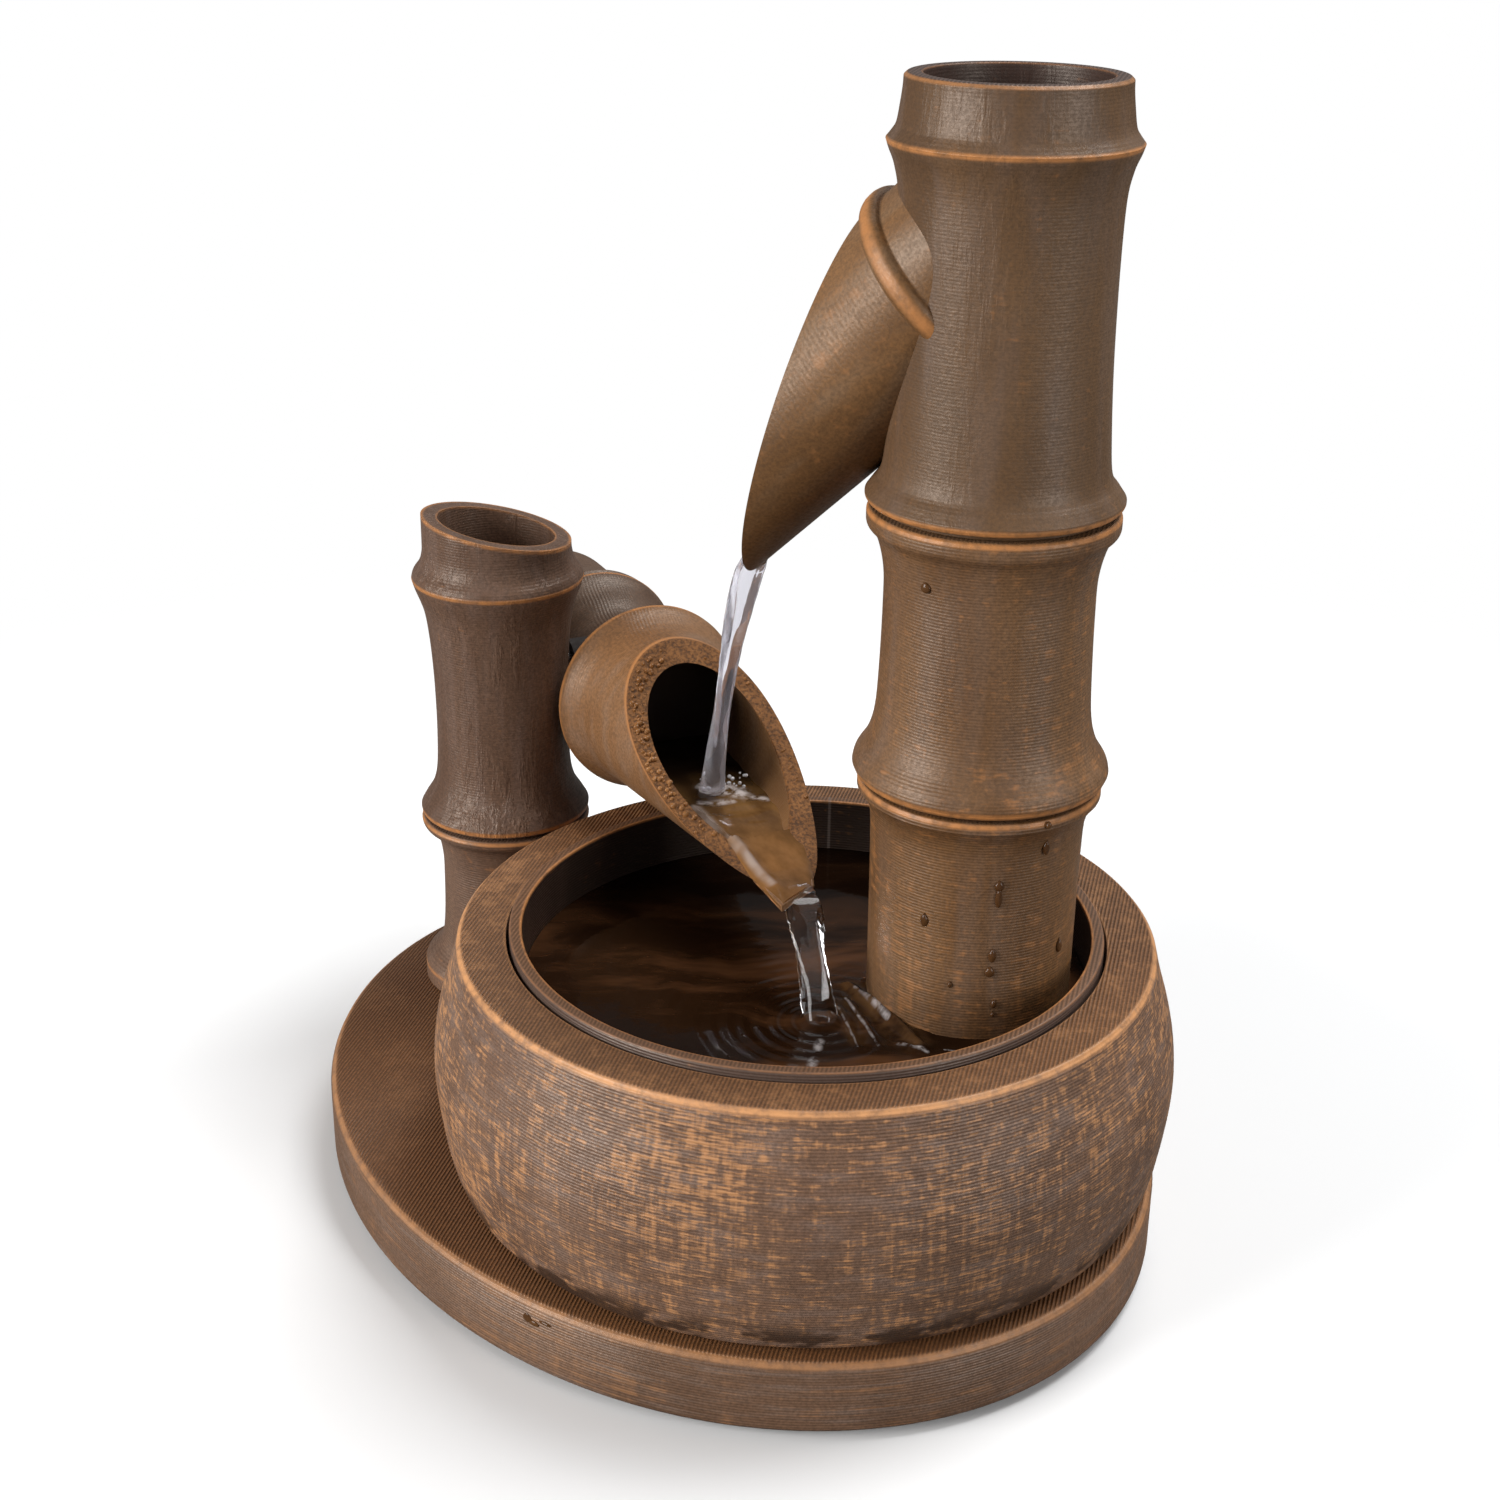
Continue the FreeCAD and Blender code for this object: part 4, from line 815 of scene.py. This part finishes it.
def glints(tree, position, strokes, breaks):
    """Painted highlights and reflections, as broken marks along short lines. Each stroke is from, to, width
    and strength, in mm.
    """
    pale = None
    for begin, finish, width, strength in strokes:
        mark = wire(tree, "ShaderNodeGroup", {}, node_tree=glint_line)
        tree.links.new(position, mark.inputs["Position"])
        mark.inputs["From"].default_value = Vector(begin) * mm
        mark.inputs["To"].default_value = Vector(finish) * mm
        mark.inputs["Width"].default_value = width * mm
        one = number(tree, "MULTIPLY", mark.outputs["Mask"], strength)
        pale = one if pale is None else number(tree, "MAXIMUM", pale, one)
    torn = ramp(tree, noise(tree, position, breaks, (1, 1, 1), 3.0, 47.0, 0.6), 0.36, 0.6)
    return number(tree, "MULTIPLY", pale, torn)


def water(name, tint, clear, rough, cloud=None):
    """Water: clear glass-like where it is thin, painted dark where it is deep."""
    made = bpy.data.materials.new(name)
    made.use_nodes = True
    tree = made.node_tree
    shader = tree.nodes["Principled BSDF"]
    shader.inputs["Base Color"].default_value = (*tint, 1)
    shader.inputs["Roughness"].default_value = rough
    shader.inputs["IOR"].default_value = 1.333
    shader.inputs["Transmission Weight"].default_value = clear
    spot = wire(tree, "ShaderNodeTexCoord").outputs["Object"]
    if cloud is not None:
        drifting = wire(tree, "ShaderNodeTexNoise", {"Vector": spot, "Scale": 60.0, "Detail": 2.0})
        sway = wire(tree, "ShaderNodeVectorMath", {0: drifting.outputs["Color"], "Scale": 0.012},
                    operation="SCALE").outputs[0]
        swayed = wire(tree, "ShaderNodeVectorMath", {0: spot, 1: sway}, operation="ADD").outputs[0]
        drift = ramp(tree, noise(tree, swayed, 95.0, (0.4, 1.7, 1), 4.0, 41.0, 0.6), 0.42, 0.7)
        tree.links.new(blended(tree, drift, tint, cloud), shader.inputs["Base Color"])
    bump = wire(tree, "ShaderNodeBump", {"Strength": 0.3, "Distance": 0.1 * mm,
                                         "Height": noise(tree, spot, 420.0, (1, 1, 1), 2.0, 43.0)})
    tree.links.new(bump.outputs[0], shader.inputs["Normal"])
    return made


water_height = 32.7
stream_foot = (1.9, -12.3)
folds = [((5.0, -3.9), (13.3, -17.6), 0.95, 0.55), ((6.9, -3.6), (14.6, -16.6), 0.35, 0.5),
         ((4.7, -6.6), (8.6, -17.4), 0.4, 0.4), ((3.9, -8.2), (6.2, -18.4), 0.32, 0.35),
         ((10.6, -16.9), (13.2, -18.6), 0.6, 0.5)]
surface = [(32.5 - 0.35 * k, water_height) for k in range(93)]
pool_line = [(0, 30.5), (32.55, 30.5), (32.55, 32.2), *surface, (0, water_height)]
pool = spun("pool_water", pool_line, segments=288)


def pool_lift(x, y):
    """Height of the water over its level: rings, the stream's foot, a rise at the post, folds, a sway."""
    d = math.dist((x, y), stream_foot)
    lift = 0.15 * math.cos(d * 3.6) * math.exp(-d / 6.0)
    lift += 0.05 * math.cos(d * 1.4 - 1.0) * math.exp(-d / 14.0)
    lift += 0.55 * math.exp(-(d / 2.2) ** 2)
    from_post = math.dist((x, y), post_centre)
    lift += 0.35 * math.exp(-max(from_post - 11.5, 0.0) / 0.5)
    for begin, finish, tall, broad in folds:
        run = (x - begin[0]) * (finish[0] - begin[0]) + (y - begin[1]) * (finish[1] - begin[1])
        t = min(max(run / math.dist(begin, finish) ** 2, 0.0), 1.0)
        near = (begin[0] + t * (finish[0] - begin[0]), begin[1] + t * (finish[1] - begin[1]))
        arch = 0.35 + 0.65 * math.sin(math.pi * (0.1 + 0.8 * t))
        lift += tall * math.exp(-(math.dist((x, y), near) / broad) ** 2) * arch
    return lift + 0.03 * math.sin(0.5 * x + 0.25 * y) + 0.025 * math.sin(0.3 * y - 0.45 * x + 1.3)


for vertex in pool.data.vertices:
    x, y, z = (c / mm for c in vertex.co)
    if z > water_height + feet_height - 0.05:
        edge_calm = min(1.0, liner_in - math.hypot(x, y))
        vertex.co.z += pool_lift(x, y) * edge_calm * mm
soften(pool, 80)
pool_skin = water("pool_surface", (0.019, 0.0075, 0.003), 0.0, 0.08, (0.11, 0.045, 0.018))
tree = pool_skin.node_tree
shader = tree.nodes["Principled BSDF"]
spot = wire(tree, "ShaderNodeTexCoord").outputs["Object"]
flat = wire(tree, "ShaderNodeVectorMath", {0: spot, 1: (1, 1, 0)}, operation="MULTIPLY").outputs[0]
parts = wire(tree, "ShaderNodeSeparateXYZ", {0: spot})
# Painted shade: the water darkens towards the back of the bowl.
toward_back = ramp(tree, parts.outputs[1], -8 * mm, 22 * mm)
# Painted reflection of the post: a broad amber band along the folds.
amber_reflection = glints(tree, flat, [((5.2, -5.0, 0), (12.0, -16.5, 0), 2.6, 0.8),
                            ((4.5, -8.0, 0), (6.0, -16.0, 0), 2.0, 0.4)], 260.0)
# Painted highlights: pale glints along the folds and near the stream's foot.
pale = glints(tree, flat, [((5.9, -5.2, 0), (9.4, -11.9, 0), 0.42, 0.55),
                           ((4.7, -7.1, 0), (8.3, -17.2, 0), 0.22, 0.5),
                           ((3.9, -9.2, 0), (6.0, -17.6, 0), 0.18, 0.4),
                           ((10.6, -16.9, 0), (13.4, -18.4, 0), 0.5, 0.75),
                           ((15.5, -17.6, 0), (19.5, -18.2, 0), 0.22, 0.45),
                           ((1.9, -16.6, 0), (1.6, -18.2, 0), 0.7, 0.7),
                           ((1.3, -20.4, 0), (1.0, -21.6, 0), 0.8, 0.6)], 900.0)
under = shader.inputs["Base Color"].links[0].from_socket
under = blended(tree, number(tree, "MULTIPLY", toward_back, 0.92), under, (0.003, 0.0012, 0.0006))
under = blended(tree, amber_reflection, under, (0.13, 0.062, 0.022))
tree.links.new(blended(tree, pale, under, (0.66, 0.62, 0.62)), shader.inputs["Base Color"])
shader.inputs["Specular IOR Level"].default_value = 0.2
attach(pool, "stand")
pool.data.materials.append(pool_skin)


# Water lies in the tube's mouth behind the lip and runs over it in a thin sheet. The falling stream raises
# rings and a pale splash in it, marked with painted highlights, and one smooth swell stands along its left
# bank under a painted highlight. Painted shade darkens the water deeper in the bore.
def between(table, at):
    """Value at a place along a table of (place, value) pairs."""
    for (a, value_a), (b, value_b) in zip(table, table[1:]):
        if at <= b:
            return value_a + (value_b - value_a) * (at - a) / (b - a)
    return table[-1][1]


bore_taper = 0.0652


def bore_side(at):
    """Inner radius of the mouth length, which narrows past its straight start."""
    return mouth_bore - bore_taper * (at - bore_straight)


film_start = 4.0
bank_from = 35.0
film_level = [(4.0, -4.4), (26.0, -4.45), (30.0, -4.6), (32.0, -4.8), (35.0, -5.35), (38.0, -6.12),
              (40.0, -6.62), (42.0, -7.02), (45.0, -7.2), (50.0, -7.32)]
left_bank = [(35.0, -4.3), (38.0, -4.6), (41.0, -4.25), (44.0, -3.95), (50.0, -4.05)]
right_bank = [(35.0, 4.3), (38.0, 4.7), (41.0, 3.85), (44.0, 2.65), (46.4, 1.65)]
swell = [(15.0, -3.0), (24.0, -4.6), (30.0, -4.3), (36.0, -3.4), (42.0, -2.7), (50.0, -2.6)]
splash_at = (1.0, 21.5)
bpy.ops.object.select_all(action="DESELECT")
bpy.ops.mesh.primitive_grid_add(x_subdivisions=64, y_subdivisions=170, size=2)
film = bpy.context.object
film.name = "mouth_water"
film.data.name = "mouth_water"
for vertex in film.data.vertices:
    s, u = vertex.co.x, (vertex.co.y + 1) / 2
    film_end = 49.3 - 1.65 * (s + 1)
    at = film_start + (film_end - film_start) * u
    level = between(film_level, at)
    if at < bank_from:
        right = math.sqrt(bore_side(at) ** 2 - level ** 2) + 0.3
        left = -right
    else:
        left, right = between(left_bank, at), between(right_bank, at)
        level -= 0.5 * abs(s) ** 7 * min(1.0, (at - bank_from) / 2.0)
    across = left + (right - left) * (s + 1) / 2
    d = math.dist((across, at), splash_at)
    level += 0.26 * math.cos(2.2 * d) * math.exp(-d / 4.0) + 0.6 * math.exp(-(d / 1.7) ** 2)
    crest = math.exp(-((across - between(swell, at)) / 0.7) ** 2)
    crest *= math.sin(math.pi * min(max((at - 20) / 28, 0), 1))
    level += 0.6 * crest + 0.06 * math.sin(1.4 * across + 0.5 * at)
    level += 0.05 * math.sin(0.8 * at - 0.9 * across + 1)
    vertex.co = (across * mm, level * mm, at * mm)
bpy.context.view_layer.objects.active = film
body = film.modifiers.new("body", "SOLIDIFY")
body.thickness = 0.6 * mm
body.offset = 1.0
top_count = len(film.data.vertices)
bpy.ops.object.modifier_apply(modifier="body")
for vertex in film.data.vertices[top_count:]:
    x, y, at = (c / mm for c in vertex.co)
    if at < bank_from:
        vertex.co.y = min(y, -math.sqrt(max(bore_side(at) ** 2 - x * x, 0.0)) - 0.15) * mm
bpy.ops.object.mode_set(mode="EDIT")
bpy.ops.mesh.select_all(action="SELECT")
bpy.ops.mesh.normals_make_consistent(inside=False)
bpy.ops.object.mode_set(mode="OBJECT")
settle(film, tube_place)
soften(film, 80)
film_skin = bpy.data.materials.new("mouth_water")
film_skin.use_nodes = True
tree = film_skin.node_tree
shader = tree.nodes["Principled BSDF"]
local = own_place(tree, frame_of_piece=tube_place)[1]
parts = wire(tree, "ShaderNodeSeparateXYZ", {0: local})
flat = wire(tree, "ShaderNodeVectorMath", {0: local, 1: (1, 0, 1)}, operation="MULTIPLY").outputs[0]
murk = ramp(tree, noise(tree, local, 210.0, (1, 1, 0.6), 4.0, 51.0, 0.6), 0.36, 0.66)
# Painted shade: the water is near-black deep in the bore, golden further out and lighter orange near the
# lip.
near_lip = ramp(tree, parts.outputs[2], 22 * mm, 42 * mm)
golden = blended(tree, murk, (0.05, 0.024, 0.009), (0.15, 0.078, 0.026))
orange = blended(tree, murk, (0.13, 0.058, 0.016), (0.24, 0.11, 0.036))
tone = blended(tree, near_lip, golden, orange)
tone = blended(tree, ramp(tree, parts.outputs[2], 14 * mm, 27 * mm), (0.006, 0.003, 0.0015), tone)
# Painted highlight along the swell on the left bank.
sheen = glints(tree, flat, [((-4.4, 0, 26.0), (-4.2, 0, 32.0), 1.3, 0.75),
                            ((-4.2, 0, 32.0), (-3.4, 0, 37.0), 1.2, 0.75),
                            ((-3.4, 0, 37.0), (-2.9, 0, 44.5), 0.85, 0.7)], 130.0)
tone = blended(tree, sheen, tone, (0.4, 0.33, 0.29))
# Painted highlights where the upper stream lands.
pale = glints(tree, flat, [((0.0, 0, 20.5), (2.2, 0, 23.5), 2.4, 0.75),
                           ((3.6, 0, 25.0), (4.6, 0, 26.5), 0.9, 0.5),
                           ((-3.0, 0, 24.5), (0.5, 0, 25.5), 1.0, 0.5)], 900.0)
tree.links.new(blended(tree, pale, tone, (0.68, 0.62, 0.6)), shader.inputs["Base Color"])
shader.inputs["Roughness"].default_value = 0.07
shader.inputs["IOR"].default_value = 1.333
bump = wire(tree, "ShaderNodeBump", {"Strength": 0.35, "Distance": 0.12 * mm,
                                     "Height": noise(tree, local, 520.0, (1, 1, 0.6), 2.0, 53.0)})
tree.links.new(bump.outputs[0], shader.inputs["Normal"])
film.data.materials.append(film_skin)
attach(film, "tipping_tube")


# The two falling streams: thin flattened ropes of water that twist as they fall. The upper one comes down
# the spout's trough and lands in the tube's mouth, and the lower one leaves the lip and drops into the bowl.
def stream(name, path, widths, seed, turns):
    """A rope of water along a path in mm, with an oval section that twists from one end to the other."""
    steps, sides = 44, 24
    chance = random.Random(seed)
    bpy.ops.object.select_all(action="DESELECT")
    bpy.ops.mesh.primitive_circle_add(vertices=sides, radius=mm, fill_type="NGON", location=(0, 0, 0))
    rope = bpy.context.object
    rope.name = name
    rope.data.name = name
    bpy.ops.object.mode_set(mode="EDIT")
    bpy.ops.mesh.select_all(action="SELECT")
    for _ in range(steps):
        bpy.ops.mesh.extrude_region_move(TRANSFORM_OT_translate={"value": (0, 0, -mm)})
    bpy.ops.mesh.select_all(action="SELECT")
    bpy.ops.mesh.normals_make_consistent(inside=False)
    bpy.ops.object.mode_set(mode="OBJECT")
    wobble = [chance.uniform(-1, 1) for _ in range(steps + 1)]
    middle_line = smooth_run(path, 12)
    for vertex in rope.data.vertices:
        level = round(-vertex.co.z / mm)
        t = level / steps
        angle = math.atan2(vertex.co.y, vertex.co.x)
        ring = t * (len(widths) - 1)
        low = min(int(ring), len(widths) - 2)
        wide, thick = (widths[low][i] + (widths[low + 1][i] - widths[low][i]) * (ring - low) for i in (0, 1))
        wide *= 1 + 0.07 * wobble[level]
        ridge = 1 + 0.12 * math.cos(3 * angle + 5 * t) + 0.06 * math.cos(5 * angle - 9 * t + seed)
        twist = turns[0] + (turns[1] - turns[0]) * t
        a, b = wide / 2 * math.cos(angle) * ridge, thick / 2 * math.sin(angle) * ridge
        place = t * (len(middle_line) - 1)
        before = min(int(place), len(middle_line) - 2)
        centre = Vector(middle_line[before]).lerp(Vector(middle_line[before + 1]), place - before)
        vertex.co = (centre + Vector((a * math.cos(twist) - b * math.sin(twist),
                                      a * math.sin(twist) + b * math.cos(twist), 0))) * mm
    finer = rope.modifiers.new("finer", "SUBSURF")
    finer.levels = 1
    finer.render_levels = 1
    bpy.ops.object.modifier_apply(modifier="finer")
    soften(rope, 80)
    return rope


clear_water = water("falling_water", (0.96, 0.97, 1.0), 1.0, 0.0)
# Painted highlight: the upper stream's water is a little milky white, so that it reads bright.
bright_water = water("bright_falling_water", (0.93, 0.93, 1.0), 0.86, 0.0)
upper_stream = stream("upper_stream",
                      [(-4.6, 6.5, 83.6), (-7.1, 7.6, 80.4), (-8.9, 11.8, 71.6), (-10.2, 15.8, 62.6),
                       (-11.3, 19.0, 53.6), (-12.2, 21.4, 45.8)],
                      [(1.0, 0.8), (2.8, 1.5), (3.6, 2.0), (3.9, 2.1), (3.2, 1.8), (2.6, 1.8), (2.4, 1.8),
                       (2.8, 2.2), (3.3, 2.6), (4.2, 3.4)], 3, (0.2, 1.5))
upper_stream.data.materials.append(bright_water)
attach(upper_stream, "stand")
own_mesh(upper_stream)
lower_stream = stream("lower_stream",
                      [(-1.7, -0.6, 44.4), (-0.7, -2.6, 43.7), (0.0, -4.6, 42.3), (0.37, -6.24, 40.95),
                       (0.93, -8.5, 38.3), (1.43, -10.5, 35.65), (1.9, -12.3, 33.0)],
                      [(3.6, 0.8), (4.2, 1.1), (4.2, 1.5), (3.7, 1.9), (3.4, 2.0), (3.3, 2.2), (3.6, 2.4),
                       (4.4, 3.0)], 5, (0.5, -0.5))
lower_stream.data.materials.append(clear_water)
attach(lower_stream, "stand")
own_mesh(lower_stream)


# Drops of water: runs and beads left on the tall post and on the plate's side, and beads thrown up
# where the upper stream lands.
def bead(wide, tall, deep, place):
    """One bead of water, narrower at its top. Its flat side faces inwards along Y. Sizes in mm."""
    bpy.ops.object.select_all(action="DESELECT")
    bpy.ops.mesh.primitive_uv_sphere_add(segments=16, ring_count=12, radius=1.0, location=(0, 0, 0))
    drop = bpy.context.object
    for vertex in drop.data.vertices:
        x, y, z = vertex.co
        neck = 1 - 0.5 * max(z, 0.0) ** 1.5
        vertex.co = (x * neck * wide / 2 * mm, y * deep * mm, z * tall / 2 * mm)
    settle(drop, place)
    return drop


def gathered(name, drops):
    """Several beads as one piece."""
    bpy.ops.object.select_all(action="DESELECT")
    for drop in drops:
        drop.select_set(True)
    bpy.context.view_layer.objects.active = drops[0]
    bpy.ops.object.join()
    piece = bpy.context.object
    piece.name = name
    piece.data.name = name
    soften(piece, 80)
    return piece


post_flank = [(40, 11.6), (53.8, 11.75), (57.1, 12.15), (58.6, 12.9), (59.5, 13.4), (62.0, 14.0),
              (65.1, 12.6), (68.1, 11.75), (73.1, 11.45), (80.1, 11.3), (84.3, 11.4), (87.7, 12.2)]
drop_water = water("bead_water", (0.07, 0.03, 0.011), 0.0, 0.05, (0.13, 0.06, 0.022))
post_beads = []
for turn, high, wide, tall in ((-80.6, 52.6, 1.1, 1.3), (-80.6, 51.2, 0.8, 2.4), (-82.1, 44.2, 0.9, 1.7),
                               (-82.9, 42.2, 1.1, 1.3), (-79.8, 38.2, 0.7, 1.1), (-80.2, 36.9, 0.5, 0.7),
                               (-120.0, 47.6, 0.9, 1.6), (-128.8, 85.0, 1.2, 1.2), (-37.7, 43.4, 0.9, 1.8),
                               (-60.6, 60.0, 0.7, 0.9), (-104.0, 40.4, 0.5, 0.8), (-56.0, 56.6, 0.8, 1.8)):
    radius = between(post_flank, max(high, 40.0))
    t = math.radians(turn)
    x, y = post_centre[0] + radius * math.cos(t), post_centre[1] + radius * math.sin(t)
    post_beads.append(bead(wide, tall, 0.32, Matrix.Translation((x * mm, y * mm, high * mm))
                           @ Matrix.Rotation(t + math.pi / 2, 4, "Z")))
for x, y, high, wide, tall in ((-28.95, -32.7, 7.75, 1.3, 1.2), (-28.2, -33.2, 7.4, 1.5, 0.7),
                               (-26.9, -34.0, 8.0, 1.7, 0.45)):
    post_beads.append(bead(wide, tall, 0.2, Matrix.Translation((x * mm, y * mm, high * mm))
                           @ Matrix.Rotation(math.radians(-34), 4, "Z")))
drops = gathered("drops_on_print", post_beads)
drops.data.materials.append(drop_water)
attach(drops, "stand")
film_beads = []
chance = random.Random(21)
for _ in range(170):
    at = chance.uniform(8.8, 34.0)
    up = scoop_up - math.sqrt(scoop_radius ** 2 - (at - scoop_along) ** 2)
    reach = chance.uniform(bore_side(at) + 0.3, tube_side(at) - 0.3)
    if reach <= abs(up) + 0.2 or chance.random() > 1.25 - at / 34.0:
        continue
    across = -math.sqrt(reach ** 2 - up ** 2) * (1 if chance.random() < 0.86 else -1)
    size = chance.uniform(0.35, 0.85) * (1.0 if across < 0 else 0.7)
    tilt = math.atan2(scoop_along - at, scoop_up - up)
    film_beads.append(bead(size, size, size * 0.55,
                           tube_place @ Matrix.Translation((across * mm, up * mm, at * mm))
                           @ Matrix.Rotation(tilt, 4, "X")))
mouth_beads = gathered("mouth_beads", film_beads)
bead_water = water("mouth_bead_water", (0.2, 0.085, 0.027), 0.0, 0.08, (0.32, 0.15, 0.055))
mouth_beads.data.materials.append(bead_water)
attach(mouth_beads, "tipping_tube")
# Painted highlight: the splash beads are pale and only partly clear, so they read as white specks.
splash_water = water("splash_water", (0.75, 0.74, 0.76), 0.35, 0.05)
chance = random.Random(11)
splash_beads = []
for _ in range(22):
    turn, out = chance.uniform(0, math.tau), chance.uniform(0.4, 3.4)
    size = chance.uniform(0.22, 0.55)
    splash_beads.append(bead(size, size, size * 0.45, tube_place @ Matrix.Translation((
        (splash_at[0] + out * math.cos(turn)) * mm, (-4.25 + chance.uniform(0.0, 1.1) - 0.1 * out) * mm,
        (splash_at[1] + out * math.sin(turn)) * mm))))
splash = gathered("mouth_splash", splash_beads)
splash.data.materials.append(splash_water)
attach(splash, "tipping_tube")

# The photograph's room: a pale floor and a soft white studio. Both are full white only where the camera sees
# them, straight or through water, so that they light the pieces no more than a dim room does.
bpy.ops.object.select_all(action="DESELECT")
bpy.ops.mesh.primitive_plane_add(size=6.0, location=(0, 0, 0))
floor = bpy.context.object
floor.name = "studio_floor"
floor_finish = bpy.data.materials.new("studio_floor")
floor_finish.use_nodes = True
tree = floor_finish.node_tree
pale = tree.nodes["Principled BSDF"]
pale.inputs["Base Color"].default_value = (0.88, 0.885, 0.89, 1)
pale.inputs["Roughness"].default_value = 1.0
pale.inputs["Specular IOR Level"].default_value = 0.0
dim = wire(tree, "ShaderNodeBsdfDiffuse", {"Color": (0.14, 0.13, 0.12, 1)})
path = wire(tree, "ShaderNodeLightPath").outputs
seen = number(tree, "MAXIMUM", path["Is Camera Ray"], path["Is Transmission Ray"])
shadowed = wire(tree, "ShaderNodeMixShader", {0: seen, 1: dim.outputs[0], 2: pale.outputs[0]})
spot = wire(tree, "ShaderNodeTexCoord").outputs["Object"]
away = wire(tree, "ShaderNodeVectorMath", {0: spot}, operation="LENGTH").outputs["Value"]
white = wire(tree, "ShaderNodeEmission", {"Color": (1, 1, 1, 1), "Strength": 1.0})
far = number(tree, "MULTIPLY", ramp(tree, away, 0.12, 0.26), seen)
blend = wire(tree, "ShaderNodeMixShader", {0: far, 1: shadowed.outputs[0], 2: white.outputs[0]})
tree.links.new(blend.outputs[0], tree.nodes["Material Output"].inputs["Surface"])
floor.data.materials.append(floor_finish)

world = bpy.data.worlds.new("studio")
bpy.context.scene.world = world
world.use_nodes = True
tree = world.node_tree
sky = tree.nodes["Background"]
sky.inputs["Color"].default_value = (1, 1, 1, 1)
sky.inputs["Strength"].default_value = 0.2
white = wire(tree, "ShaderNodeBackground", {"Color": (1, 1, 1, 1), "Strength": 1.0})
path = wire(tree, "ShaderNodeLightPath").outputs
seen = number(tree, "MAXIMUM", path["Is Camera Ray"], path["Is Transmission Ray"])
blend = wire(tree, "ShaderNodeMixShader", {0: seen, 1: sky.outputs[0], 2: white.outputs[0]})
tree.links.new(blend.outputs[0], tree.nodes["World Output"].inputs["Surface"])


def softbox(name, place, aim, size, power, tint=(1, 1, 1)):
    """A square studio light that points at a spot. Places in metres."""
    bpy.ops.object.light_add(type="AREA", location=place)
    lamp = bpy.context.object
    lamp.name = name
    lamp.data.shape = "RECTANGLE"
    lamp.data.size, lamp.data.size_y = size
    lamp.data.energy = power
    lamp.data.color = tint
    lamp.rotation_euler = (Vector(aim) - Vector(place)).to_track_quat("-Z", "Y").to_euler()


softbox("overhead", (0.5, 0.35, 1.25), (0, 0, 0.05), (0.8, 0.8), 17.5)
softbox("left_front", (-1.2, -0.6, 0.42), (0, 0, 0.06), (0.75, 0.9), 25.0, (1.0, 0.985, 0.97))
softbox("right_front", (1.05, -0.8, 0.42), (0, 0, 0.05), (0.6, 0.9), 8.5)

# The camera stands in front of the fountain and a little above it, and sees it as the photograph does.
focal_pixels = 2218.0
photo_side = 1500.0
yaw, pitch, roll = (math.radians(v) for v in (-1.686, 23.167, 0.750))
forward = Vector((math.sin(yaw) * math.cos(pitch), math.cos(yaw) * math.cos(pitch), -math.sin(pitch)))
level = Vector((math.cos(yaw), -math.sin(yaw), 0))
upright = level.cross(forward)
right = math.cos(roll) * level + math.sin(roll) * upright
up = -math.sin(roll) * level + math.cos(roll) * upright
camera_place = (0, -0.22771, 0.15843)
bpy.ops.object.camera_add(location=camera_place)
camera = bpy.context.object
turn = Matrix((right, up, -forward)).transposed().to_4x4()
turn.translation = camera_place
camera.matrix_world = turn
camera.data.sensor_width = 36.0
camera.data.lens = 36.0 * focal_pixels / photo_side
camera.data.clip_start = 0.01
bpy.context.scene.camera = camera
bpy.context.scene.view_settings.view_transform = "Standard"
